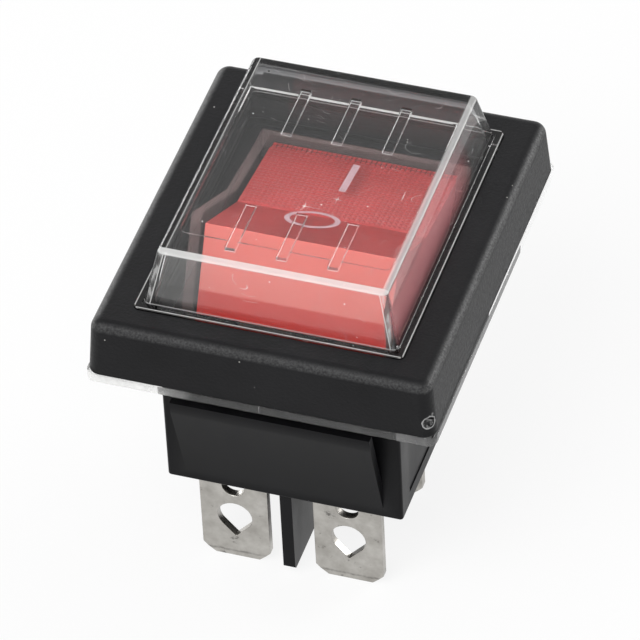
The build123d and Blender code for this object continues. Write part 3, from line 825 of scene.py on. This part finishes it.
@dataclass(frozen=True)
class NaturalNylon:
    """White nylon with a slight sheen."""

    name: str = "natural_nylon"
    colour: Colour = (0.74, 0.72, 0.66)

    def build(self) -> bpy.types.Material:
        """Builds the material."""
        shader = Shader(self.name)
        cloud = shader.noise(1.2, detail=3.0)
        base = shader.ramp(cloud, 0.3, 0.7, self.colour, tuple(0.88 * p for p in self.colour))
        body = shader.principled(
            Base_Color=base, Roughness=0.4, Subsurface_Weight=0.2,
            Subsurface_Radius=(1.0, 0.9, 0.8), Subsurface_Scale=0.4 * MM,
            Normal=shader.bump(cloud, 0.004),
        )
        return shader.finish(body.outputs[0])


@dataclass(frozen=True)
class LampGlass:
    """The neon lamp's glass, a little darker in soft clouds."""

    name: str = "lamp_glass"
    tint: Colour = (0.95, 0.86, 0.78)

    def build(self) -> bpy.types.Material:
        """Builds the material."""
        shader = Shader(self.name)
        cloud = shader.noise(1.5, detail=2.0)
        tint = shader.ramp(cloud, 0.4, 0.75, self.tint, (0.8, 0.7, 0.62))
        body = shader.principled(
            Base_Color=tint, Roughness=0.03, IOR=1.5, Transmission_Weight=1.0,
            Normal=shader.bump(cloud, 0.01),
        )
        return shader.clear_to_shadows(body.outputs[0], 0.8)


@dataclass(frozen=True)
class BandedLacquer:
    """The resistor's lacquer with plain colour bands round it."""

    name: str = "resistor_lacquer"
    colour: Colour = (0.6, 0.47, 0.3)
    start: float = -4.1
    pitch: float = 0.75
    bands: tuple[Colour, ...] = ((0.35, 0.12, 0.05), (0.05, 0.05, 0.05), (0.6, 0.45, 0.1))

    def build(self) -> bpy.types.Material:
        """Builds the material."""
        shader = Shader(self.name)
        along = shader.node("SeparateXYZ", {0: shader.millimetres()}).outputs[1]
        base = shader.ramp(shader.noise(0.8), 0.3, 0.7, self.colour,
                           tuple(0.85 * part for part in self.colour))
        for index, colour in enumerate(self.bands):
            middle = self.start + index * self.pitch
            offset = shader.maths("ABSOLUTE", shader.maths("SUBTRACT", along, middle))
            inside = shader.maths("LESS_THAN", offset, 0.2)
            base = shader.colour_mix(inside, base, colour)
        body = shader.principled(Base_Color=base, Roughness=0.3, Coat_Weight=0.4)
        return shader.finish(body.outputs[0])


@dataclass(frozen=True)
class PaleFloor:
    """A white floor that keeps a soft shadow and reads as white to the camera."""

    name: str = "pale_floor"
    colour: Colour = (0.82, 0.82, 0.82)
    lift: float = 0.85

    def build(self) -> bpy.types.Material:
        """Builds the material."""
        shader = Shader(self.name)
        rays = shader.node("LightPath")
        seen = shader.maths("MAXIMUM", rays.outputs["Is Camera Ray"],
                            rays.outputs["Is Transmission Ray"])
        seen = shader.maths("MAXIMUM", seen, rays.outputs["Is Glossy Ray"])
        share = shader.maths("MULTIPLY", seen, self.lift)
        paper = shader.ramp(shader.noise(9.0, detail=2.0), 0.3, 0.7, self.colour,
                            tuple(0.99 * part for part in self.colour))
        matte = shader.node("BsdfDiffuse", {"Color": paper})
        white = shader.node("Emission", {"Color": (1.0, 1.0, 1.0, 1.0), "Strength": 1.0})
        mixed = shader.node("MixShader", {0: share, 1: matte.outputs[0], 2: white.outputs[0]})
        return shader.finish(mixed.outputs[0])


# Meshes


def link(obj: bpy.types.Object) -> bpy.types.Object:
    """Links an object to the scene and returns it."""
    bpy.context.scene.collection.objects.link(obj)
    return obj


def merged_copy(node: str, name: str) -> bpy.types.Object:
    """A copy of a CAD node with its triangles joined and its flat faces made whole.

    Args:
        node: The CAD node.
        name: The new piece's name.

    Returns:
        The new object, with nothing on it yet.
    """
    shape = bmesh.new()
    shape.from_mesh(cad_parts[node].data)
    bmesh.ops.remove_doubles(shape, verts=shape.verts, dist=0.0004 * MM)
    bmesh.ops.dissolve_limit(
        shape, angle_limit=math.radians(0.3), verts=shape.verts, edges=shape.edges,
    )
    mesh = bpy.data.meshes.new(name)
    shape.to_mesh(mesh)
    shape.free()
    if "custom_normal" in mesh.attributes:
        mesh.attributes.remove(mesh.attributes["custom_normal"])
    return link(bpy.data.objects.new(name, mesh))


def soften(obj: bpy.types.Object, radius: float, sharp: float = 32.0, segments: int = 2) -> None:
    """Rounds a piece's sharp edges and shades it smooth between them.

    Args:
        obj: The piece.
        radius: The edge radius in millimetres.
        sharp: Angle in degrees above which an edge is rounded.
        segments: Facets across the round.
    """
    obj.data.shade_smooth()
    bevel = obj.modifiers.new("edge_radius", "BEVEL")
    bevel.width = radius * MM
    bevel.segments = segments
    bevel.limit_method = "ANGLE"
    bevel.angle_limit = math.radians(sharp)
    bevel.use_clamp_overlap = True
    weighted = obj.modifiers.new("flat_shading", "WEIGHTED_NORMAL")
    weighted.keep_sharp = True


def dress(obj: bpy.types.Object, material: bpy.types.Material) -> None:
    """Gives a piece one material."""
    obj.data.materials.clear()
    obj.data.materials.append(material)


@dataclass
class Piece:
    """A CAD node that is shown as a finished copy.

    Args:
        node: The CAD node that it stands for.
        slot: The record's material slot; not used.
        radius: The edge radius in millimetres.
        sharp: Angle in degrees above which an edge is rounded.
    """

    node: str
    slot: str
    radius: float = 0.06
    sharp: float = 32.0

    def build(self, body: str, material: bpy.types.Material) -> bpy.types.Object:
        """Builds the piece and seats it on its body.

        Args:
            body: The body that it rides on.
            material: Its finish.

        Returns:
            The finished piece.
        """
        obj = merged_copy(self.node, self.node + "_finished")
        soften(obj, self.radius, self.sharp)
        dress(obj, material)
        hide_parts(self.node)
        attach(obj, body)
        log.info("%s: %d faces", obj.name, len(obj.data.polygons))
        return obj


class GeometryTree:
    """A Geometry Nodes tree under construction, with its inputs by name.

    Args:
        name: The tree's name.
        sizes: The tree's inputs and their values; whole numbers make whole-number sockets.
    """

    def __init__(self, name: str, sizes: dict[str, float | int]) -> None:
        self.tree = bpy.data.node_groups.new(name, "GeometryNodeTree")
        self.sizes = sizes
        for key, value in sizes.items():
            kind = "NodeSocketInt" if isinstance(value, int) else "NodeSocketFloat"
            self.tree.interface.new_socket(key, in_out="INPUT", socket_type=kind)
        self.tree.interface.new_socket("Geometry", in_out="OUTPUT",
                                       socket_type="NodeSocketGeometry")
        self.given = self.tree.nodes.new("NodeGroupInput")
        self.result = self.tree.nodes.new("NodeGroupOutput")

    def size(self, name: str) -> bpy.types.NodeSocket:
        """The socket of a named input."""
        return self.given.outputs[name]

    def node(self, kind: str, inputs: dict | None = None, **settings: object) -> bpy.types.Node:
        """Adds a node.

        Args:
            kind: The node's full type.
            inputs: Values or sockets for its inputs, by name or index.
            settings: Properties of the node.

        Returns:
            The new node.
        """
        made = self.tree.nodes.new(kind)
        for key, value in settings.items():
            setattr(made, key, value)
        for key, value in (inputs or {}).items():
            if isinstance(value, bpy.types.NodeSocket):
                self.tree.links.new(value, made.inputs[key])
            else:
                made.inputs[key].default_value = value
        return made

    def finish(self, geometry: bpy.types.NodeSocket, material: bpy.types.Material) -> None:
        """Ends the tree in real geometry with its material.

        Args:
            geometry: The last geometry socket.
            material: The material to set.
        """
        real = self.node("GeometryNodeRealizeInstances", {"Geometry": geometry})
        painted = self.node("GeometryNodeSetMaterial", {
            "Geometry": real.outputs[0], "Material": material,
        })
        self.tree.links.new(painted.outputs[0], self.result.inputs[0])

    def mesh(self, name: str, place: Matrix) -> bpy.types.Object:
        """Runs the tree once and keeps its result as a plain mesh.

        Args:
            name: The new piece's name.
            place: Where the result goes; it is put into the mesh itself.

        Returns:
            The new object, at the origin.
        """
        holder = link(bpy.data.objects.new(name + "_tree", bpy.data.meshes.new(name + "_tree")))
        modifier = holder.modifiers.new("tree", "NODES")
        modifier.node_group = self.tree
        for socket in self.tree.interface.items_tree:
            if socket.in_out == "INPUT":
                modifier[socket.identifier] = self.sizes[socket.name]
        evaluated = holder.evaluated_get(bpy.context.evaluated_depsgraph_get())
        mesh = bpy.data.meshes.new_from_object(evaluated)
        holder.modifiers.remove(modifier)
        bpy.data.objects.remove(holder)
        mesh.name = name
        mesh.transform(place)
        return link(bpy.data.objects.new(name, mesh))


# Sub-assemblies


@dataclass
class Shell:
    """The outside of the switch: housing, black frame and clear boot.

    Args:
        frame_edge: Edge radius of the black frame.
        housing_edge: Edge radius of the housing.
        boot_edge: Edge radius of the boot.
        frame_draft: Lean of the frame's walls, which gives the gate scar its place.
        corner_radius: Radius of the frame's upright corners.
        scar_height: Height of the gate scar above the panel.
    """

    frame_edge: float = 0.12
    housing_edge: float = 0.09
    boot_edge: float = 0.09
    frame_draft: float = 4.0
    corner_radius: float = 1.2
    scar_height: float = 2.35

    def scar_place(self) -> tuple[float, float, float]:
        """The gate scar's middle on the frame's near right corner, in millimetres."""
        low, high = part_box("cover_frame")
        lean = (self.scar_height - low.z / MM) * math.tan(math.radians(self.frame_draft))
        inward = lean + self.corner_radius * (1 - math.cos(math.radians(45)))
        return high.x / MM - inward, low.y / MM + inward, self.scar_height

    def build(self) -> None:
        """Builds and dresses the shell's pieces."""
        body = Carrier.SWITCH.named()
        plastic = SparkErodedPlastic(scar=self.scar_place()).build()
        Piece("cover_frame", "frame_plastic", self.frame_edge).build(body, plastic)
        Piece("housing", "housing_plastic", self.housing_edge).build(body, SatinNylon().build())
        Piece("boot", "boot_vinyl", self.boot_edge).build(body, ClearVinyl().build())


@dataclass
class RockerAssembly:
    """The rocker: clear lens, red insert, prism pattern and printed marks.

    Args:
        pivot_height: Height of the pivot.
        tilt: The resting tilt.
        dish: Lean of each half of the dished top.
        valley: Height of the lens's valley above the pivot.
        lens_wall: Wall of the lens.
        gap: Gap between lens and insert.
        prism_pitch: Pitch of the prism pattern.
        prism_height: Height of a prism.
        prism_margin: Bare strip beside the valley.
        painted_reflection_run: How far the prism pattern runs on past the insert, as a painted
            reflection of it in the lens's end wall.
        mark_lift: Height of the ink above the lens.
        ring_radius: Middle radius of the ring mark.
        ring_stroke: Width of the ring's stroke.
        ring_stretch: Length of the ring for each millimetre of its width.
        ring_along: Distance of the ring from the valley.
        ring_across: Offset of the ring to the right.
        bar_length: Length of the bar mark.
        bar_width: Width of the bar mark.
        bar_along: Distance of the bar from the valley.
        bar_across: Offset of the bar to the right.
    """

    pivot_height: float = -3.0
    tilt: float = 18.5
    dish: float = 10.5
    valley: float = 8.665
    lens_wall: float = 1.05
    gap: float = 0.05
    prism_pitch: float = 0.46
    prism_height: float = 0.08
    prism_margin: float = 0.5
    painted_reflection_run: float = 0.6
    mark_lift: float = 0.012
    ring_radius: float = 2.17
    ring_stroke: float = 0.48
    ring_stretch: float = 1.2
    ring_along: float = 5.4
    ring_across: float = -0.12
    bar_length: float = 4.37
    bar_width: float = 0.64
    bar_along: float = 4.77
    bar_across: float = 0.1

    def pose(self) -> Matrix:
        """Turns a piece drawn upright about the pivot to the resting tilt."""
        lift = Matrix.Translation((0, 0, self.pivot_height * MM))
        return lift @ Matrix.Rotation(math.radians(-self.tilt), 4, "X")

    def flat(self, end: int, inset: float) -> Matrix:
        """The plane of one half of the dished top.

        Args:
            end: -1 for the near half, 1 for the far half.
            inset: How far below the lens's surface, in millimetres.

        Returns:
            A matrix whose X is the rocker's width, whose Y runs from the valley to the end and
            whose Z is the outward normal.
        """
        dish = math.radians(self.dish)
        start = (self.valley - inset / math.cos(dish)) * MM
        turn = Matrix.Rotation(dish, 4, "X")
        if end < 0:
            turn = Matrix.Rotation(math.pi, 4, "Z") @ turn
        return self.pose() @ Matrix.Translation((0, 0, start)) @ turn

    def prisms(self, material: bpy.types.Material) -> bpy.types.Object:
        """The prism pattern on the far half of the insert, running on past its end as a painted
        reflection in the lens's end wall.

        Args:
            material: The insert's finish.

        Returns:
            The finished piece.
        """
        low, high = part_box("rocker_insert")
        pitch = self.prism_pitch * MM
        width = (high.x - low.x) - 1.3 * pitch
        # The pattern runs on past the insert's end as a painted reflection in the lens's end wall.
        length = (self.flat_length() + self.painted_reflection_run - self.prism_margin) * MM
        across = int(width / pitch) + 1
        along = int(length / pitch) + 1
        tree = GeometryTree("prism_field", {
            "Width": (across - 1) * pitch, "Length": (along - 1) * pitch,
            "Across": across, "Along": along,
            "Foot": pitch * 0.62, "Height": self.prism_height * MM,
        })
        grid = tree.node("GeometryNodeMeshGrid", {
            "Size X": tree.size("Width"), "Size Y": tree.size("Length"),
            "Vertices X": tree.size("Across"), "Vertices Y": tree.size("Along"),
        })
        prism = tree.node("GeometryNodeMeshCone", {
            "Vertices": 4, "Radius Top": 0.0, "Radius Bottom": tree.size("Foot"),
            "Depth": tree.size("Height"),
        }, fill_type="NGON")
        placed = tree.node("GeometryNodeInstanceOnPoints", {
            "Points": grid.outputs["Mesh"], "Instance": prism.outputs["Mesh"],
            "Rotation": (0.0, 0.0, math.radians(45)),
        })
        tree.finish(placed.outputs[0], material)
        middle = Matrix.Translation((0, self.prism_margin * MM + (along - 1) * pitch / 2, 0))
        obj = tree.mesh("prisms_far", self.flat(1, self.lens_wall + self.gap) @ middle)
        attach(obj, Carrier.ROCKER.named())
        log.info("%s: %d prisms", obj.name, across * along)
        return obj

    def flat_length(self) -> float:
        """Length of the insert's flat from the valley to the ridge, in millimetres."""
        upright = self.pose().inverted()
        corners = [upright @ v.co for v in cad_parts["rocker_insert"].data.vertices]
        top = max(c.y for c in corners if c.z > (self.valley - self.lens_wall) * MM)
        return top / MM / math.cos(math.radians(self.dish))

    def mark(self, which: Mark, material: bpy.types.Material) -> bpy.types.Object:
        """A printed mark on the lens.

        Args:
            which: The mark.
            material: The ink.

        Returns:
            The finished piece.
        """
        shape = bmesh.new()
        if which is Mark.OPEN:
            self.draw_ring(shape)
            end, across, along = -1, -self.ring_across, self.ring_along
        else:
            self.draw_bar(shape)
            end, across, along = 1, self.bar_across, self.bar_along
        place = self.flat(end, 0.0) @ Matrix.Translation((across * MM, along * MM, 0))
        shape.transform(place)
        bmesh.ops.recalc_face_normals(shape, faces=shape.faces)
        mesh = bpy.data.meshes.new(which.value)
        shape.to_mesh(mesh)
        shape.free()
        obj = link(bpy.data.objects.new(which.value, mesh))
        dress(obj, material)
        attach(obj, Carrier.ROCKER.named())
        log.info("%s: printed", obj.name)
        return obj

    def draw_ring(self, shape: bmesh.types.BMesh) -> None:
        """Draws the ring mark round the origin, as thick as the ink."""
        steps = 72
        low, high = 0.0005 * MM, self.mark_lift * MM
        loops = []
        for radius, height in (
            (self.ring_radius - self.ring_stroke / 2, low),
            (self.ring_radius - self.ring_stroke / 2, high),
            (self.ring_radius + self.ring_stroke / 2, high),
            (self.ring_radius + self.ring_stroke / 2, low),
        ):
            loops.append([
                shape.verts.new((
                    radius * MM * math.cos(math.tau * step / steps),
                    radius * MM * math.sin(math.tau * step / steps) * self.ring_stretch, height,
                ))
                for step in range(steps)
            ])
        for first, second in zip(loops, loops[1:] + loops[:1]):
            for step in range(steps):
                after = (step + 1) % steps
                shape.faces.new((first[step], first[after], second[after], second[step]))

    def draw_bar(self, shape: bmesh.types.BMesh) -> None:
        """Draws the bar mark round the origin, as thick as the ink."""
        made = bmesh.ops.create_cube(shape, size=1.0)
        size = (self.bar_width * MM, self.bar_length * MM, self.mark_lift * MM)
        bmesh.ops.scale(shape, vec=size, verts=made["verts"])
        bmesh.ops.translate(shape, vec=(0, 0, self.mark_lift * MM / 2 + 0.0005 * MM),
                            verts=made["verts"])

    def build(self) -> None:
        """Builds and dresses the rocker's pieces."""
        body = Carrier.ROCKER.named()
        red = RedPlastic().build()
        insert_end = self.flat_length() * math.cos(math.radians(self.dish))
        lens = SmokyLens(insert_end + 0.1, self.pivot_height, self.tilt).build()
        Piece("rocker", "lens_plastic", 0.08, 25.0).build(body, lens)
        Piece("rocker_insert", "insert_plastic", 0.12, 18.0).build(body, red)
        self.prisms(red)
        ink = PrintedInk().build()
        for which in Mark:
            self.mark(which, ink)


@dataclass
class Contacts:
    """One pole's terminals, rivets and lever.

    Args:
        blade_edge: Edge radius of the stamped blades.
        rivet_edge: Edge radius of the rivets.
    """

    blade_edge: float = 0.07
    rivet_edge: float = 0.1
    tin: HandledMetal = field(default_factory=lambda: HandledMetal(
        "tinned_brass", (0.5, 0.485, 0.455), (0.34, 0.325, 0.3), smudge_share=0.42, tip=-24.86,
    ))
    silver: HandledMetal = field(default_factory=lambda: HandledMetal(
        "contact_silver", (0.9, 0.88, 0.85), (0.7, 0.67, 0.62), roughness=0.25, smudge_share=0.1,
    ))
    copper: HandledMetal = field(default_factory=lambda: HandledMetal(
        "lever_copper", (0.86, 0.5, 0.32), (0.55, 0.3, 0.2), roughness=0.3, smudge_share=0.15,
    ))

    def build(self) -> None:
        """Builds and dresses both poles."""
        tin, silver, copper = self.tin.build(), self.silver.build(), self.copper.build()
        switch = Carrier.SWITCH.named()
        for side in Side:
            lever = Carrier.LEVER.named(side)
            name = side.label
            for row in ("front", "common"):
                Piece(f"{row}_terminal_{name}", "terminal_brass", self.blade_edge).build(switch, tin)
            Piece(f"fixed_contact_{name}", "contact_silver", self.rivet_edge).build(switch, silver)
            Piece(f"moving_contact_{name}", "contact_silver", self.rivet_edge).build(lever, silver)
            Piece(f"contact_lever_{name}", "lever_copper", self.blade_edge).build(lever, copper)


@dataclass
class Plungers:
    """The nylon plungers and their springs.

    Args:
        wire: Radius of the spring wire.
        coil: Middle radius of the coil.
        turns: Turns of the coil.
        low: Lower end of the coil's middle line below the pivot.
        high: Upper end above the pivot.
        offset: Distance of each plunger from the middle.
        stroke: How far a plunger slides; not used.
    """

    wire: float = 0.17
    coil: float = 0.95
    turns: float = 5.0
    low: float = -3.23
    high: float = 4.43
    offset: float = 5.26
    stroke: float = 0.8

    def spring(self, side: Side, pose: Matrix, material: bpy.types.Material) -> bpy.types.Object:
        """One spring of round wire.

        Args:
            side: The pole.
            pose: The rocker's resting pose.
            material: The wire's finish.

        Returns:
            The finished piece.
        """
        tree = GeometryTree(f"spring_{side.label}", {
            "Wire": self.wire * MM, "Coil": self.coil * MM, "Turns": float(self.turns),
            "Height": (self.high - self.low) * MM, "Steps": 28, "Round": 10,
        })
        coil = tree.node("GeometryNodeCurveSpiral", {
            "Resolution": tree.size("Steps"), "Rotations": tree.size("Turns"),
            "Start Radius": tree.size("Coil"), "End Radius": tree.size("Coil"),
            "Height": tree.size("Height"),
        })
        section = tree.node("GeometryNodeCurvePrimitiveCircle", {
            "Resolution": tree.size("Round"), "Radius": tree.size("Wire"),
        })
        wire = tree.node("GeometryNodeCurveToMesh", {
            "Curve": coil.outputs[0], "Profile Curve": section.outputs["Curve"], "Fill Caps": True,
        })
        smooth = tree.node("GeometryNodeSetShadeSmooth", {"Geometry": wire.outputs[0]})
        tree.finish(smooth.outputs[0], material)
        foot = Matrix.Translation((side.value * self.offset * MM, 0, self.low * MM))
        obj = tree.mesh(f"plunger_spring_{side.label}_wire", pose @ foot)
        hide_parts(f"plunger_spring_{side.label}")
        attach(obj, Carrier.ROCKER.named())
        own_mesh(obj)
        log.info("%s: %g turns", obj.name, self.turns)
        return obj

    def build(self, pose: Matrix) -> None:
        """Builds and dresses both plungers.

        Args:
            pose: The rocker's resting pose.
        """
        nylon = NaturalNylon().build()
        steel = HandledMetal("spring_steel", (0.6, 0.6, 0.61), (0.42, 0.42, 0.44),
                             roughness=0.22, smudge_share=0.05).build()
        for side in Side:
            plunger = Piece(f"plunger_{side.label}", "plunger_nylon", 0.08)
            plunger.build(Carrier.PLUNGER.named(side), nylon)
            self.spring(side, pose, steel)


@dataclass
class LampCircuit:
    """The neon lamp, its leads and its resistor."""

    edge: float = 0.04

    def build(self) -> None:
        """Builds and dresses the lamp circuit."""
        body = Carrier.SWITCH.named()
        wire = HandledMetal("tinned_wire", (0.74, 0.73, 0.71), (0.55, 0.54, 0.52),
                            roughness=0.25, smudge_share=0.1).build()
        Piece("neon_lamp", "lamp_glass", self.edge).build(body, LampGlass().build())
        Piece("lamp_lead_left", "lead_wire", self.edge, 50.0).build(body, wire)
        Piece("lamp_lead_right", "lead_wire", self.edge, 50.0).build(body, wire)
        Piece("lamp_resistor", "resistor_body", self.edge).build(body, BandedLacquer().build())


# Stage


@dataclass
class Studio:
    """Floor, light and camera.

    Args:
        floor_half: Half the floor's side, in metres.
        azimuth: The camera's azimuth.
        elevation: The camera's elevation.
        roll: The camera's roll.
        distance: From the origin to the camera, in millimetres.
        shift_right: How far the camera stands to its right, in millimetres.
        shift_up: How far it stands up, in millimetres.
        focal_pixels: Focal length in pixels of the 640 pixel image.
        image_size: The image's side in pixels.
        sensor: Sensor width in millimetres.
    """

    floor_half: float = 3.0
    azimuth: float = 19.954
    elevation: float = 42.896
    roll: float = -3.065
    distance: float = 530.887
    shift_right: float = -0.379
    shift_up: float = -4.067
    focal_pixels: float = 6083.742
    image_size: float = 640.0
    sensor: float = 36.0

    def camera_axes(self) -> tuple[Vector, Vector, Vector]:
        """The camera's right, up and back directions."""
        azimuth, elevation, roll = (
            math.radians(angle) for angle in (self.azimuth, self.elevation, self.roll)
        )
        back = Vector((
            math.sin(azimuth) * math.cos(elevation), -math.cos(azimuth) * math.cos(elevation),
            math.sin(elevation),
        ))
        right = Vector((math.cos(azimuth), math.sin(azimuth), 0))
        up = back.cross(right)
        turned = math.cos(roll) * right + math.sin(roll) * up
        raised = math.cos(roll) * up - math.sin(roll) * right
        return turned, raised, back

    def add_camera(self) -> None:
        """Adds the camera at the photograph's viewing angle."""
        right, up, back = self.camera_axes()
        data = bpy.data.cameras.new("camera")
        data.sensor_width = self.sensor
        data.lens = self.focal_pixels / self.image_size * self.sensor
        data.clip_start = 0.01
        data.clip_end = 50.0
        camera = link(bpy.data.objects.new("camera", data))
        place = (self.distance * back + self.shift_right * right + self.shift_up * up) * MM
        turn = Matrix((right, up, back)).transposed().to_4x4()
        camera.matrix_world = Matrix.Translation(place) @ turn
        bpy.context.scene.camera = camera

    def add_floor(self, height: float) -> None:
        """Adds the floor.

        Args:
            height: Its height in metres.
        """
        half = self.floor_half
        mesh = bpy.data.meshes.new("floor")
        corners = [(-half, -half, height), (half, -half, height), (half, half, height),
                   (-half, half, height)]
        mesh.from_pydata(corners, [], [(0, 1, 2, 3)])
        floor = link(bpy.data.objects.new("floor", mesh))
        dress(floor, PaleFloor().build())
        floor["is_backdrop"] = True

    def add_softbox(
        self, name: str, azimuth: float, elevation: float, reach: float, size: float, power: float,
    ) -> None:
        """Adds a softbox that faces the object.

        Args:
            name: The lamp's name.
            azimuth: Where it stands, in the camera's sense.
            elevation: How high, in degrees.
            reach: Its distance in metres.
            size: Its side in metres.
            power: Its power in watts.
        """
        data = bpy.data.lights.new(name, "AREA")
        data.shape = "SQUARE"
        data.size = size
        data.energy = power
        lamp = link(bpy.data.objects.new(name, data))
        turn = math.radians(azimuth)
        lift = math.radians(elevation)
        towards = Vector((
            math.sin(turn) * math.cos(lift), -math.cos(turn) * math.cos(lift), math.sin(lift),
        ))
        lamp.location = towards * reach
        lamp.rotation_euler = towards.to_track_quat("Z", "Y").to_euler()

    def add_world(self, light: float) -> None:
        """Adds the surroundings: an even pale light that the camera sees as white.

        Args:
            light: How bright the surroundings are as light.
        """
        world = bpy.data.worlds.new("surroundings")
        bpy.context.scene.world = world
        world.use_nodes = True
        nodes, links = world.node_tree.nodes, world.node_tree.links
        nodes.clear()
        rays = nodes.new("ShaderNodeLightPath")
        seen = nodes.new("ShaderNodeMath")
        seen.operation = "MAXIMUM"
        links.new(rays.outputs["Is Camera Ray"], seen.inputs[0])
        links.new(rays.outputs["Is Transmission Ray"], seen.inputs[1])
        mirrored = nodes.new("ShaderNodeMath")
        mirrored.operation = "MAXIMUM"
        links.new(seen.outputs[0], mirrored.inputs[0])
        links.new(rays.outputs["Is Glossy Ray"], mirrored.inputs[1])
        even = nodes.new("ShaderNodeBackground")
        even.inputs["Color"].default_value = (1.0, 1.0, 1.0, 1.0)
        even.inputs["Strength"].default_value = light
        white = nodes.new("ShaderNodeBackground")
        white.inputs["Color"].default_value = (1.0, 1.0, 1.0, 1.0)
        white.inputs["Strength"].default_value = 1.0
        mix = nodes.new("ShaderNodeMixShader")
        links.new(mirrored.outputs[0], mix.inputs[0])
        links.new(even.outputs[0], mix.inputs[1])
        links.new(white.outputs[0], mix.inputs[2])
        output = nodes.new("ShaderNodeOutputWorld")
        links.new(mix.outputs[0], output.inputs["Surface"])

    def build(self, floor_height: float) -> None:
        """Builds the whole stage.

        Args:
            floor_height: The floor's height in metres.
        """
        bpy.context.scene.view_settings.view_transform = "Standard"
        self.add_camera()
        self.add_floor(floor_height)
        self.add_world(0.55)
        self.add_softbox("front_softbox", -20.0, 48.0, 0.9, 0.6, 6.0)
        self.add_softbox("right_softbox", 136.0, 15.0, 0.9, 0.4, 4.3)
        self.add_softbox("left_softbox", 226.0, 8.0, 0.9, 0.4, 3.0)
        log.info("studio: camera, floor and light")


def main() -> None:
    """Builds the stage and every sub-assembly in order."""
    logging.basicConfig(level=logging.INFO, format="%(message)s")
    cad_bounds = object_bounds()
    Studio().build(cad_bounds[0].z - 0.02 * MM)
    Shell().build()
    rocker = RockerAssembly()
    rocker.build()
    Contacts().build()
    Plungers().build(rocker.pose())
    LampCircuit().build()


if __name__ == "__main__":
    main()
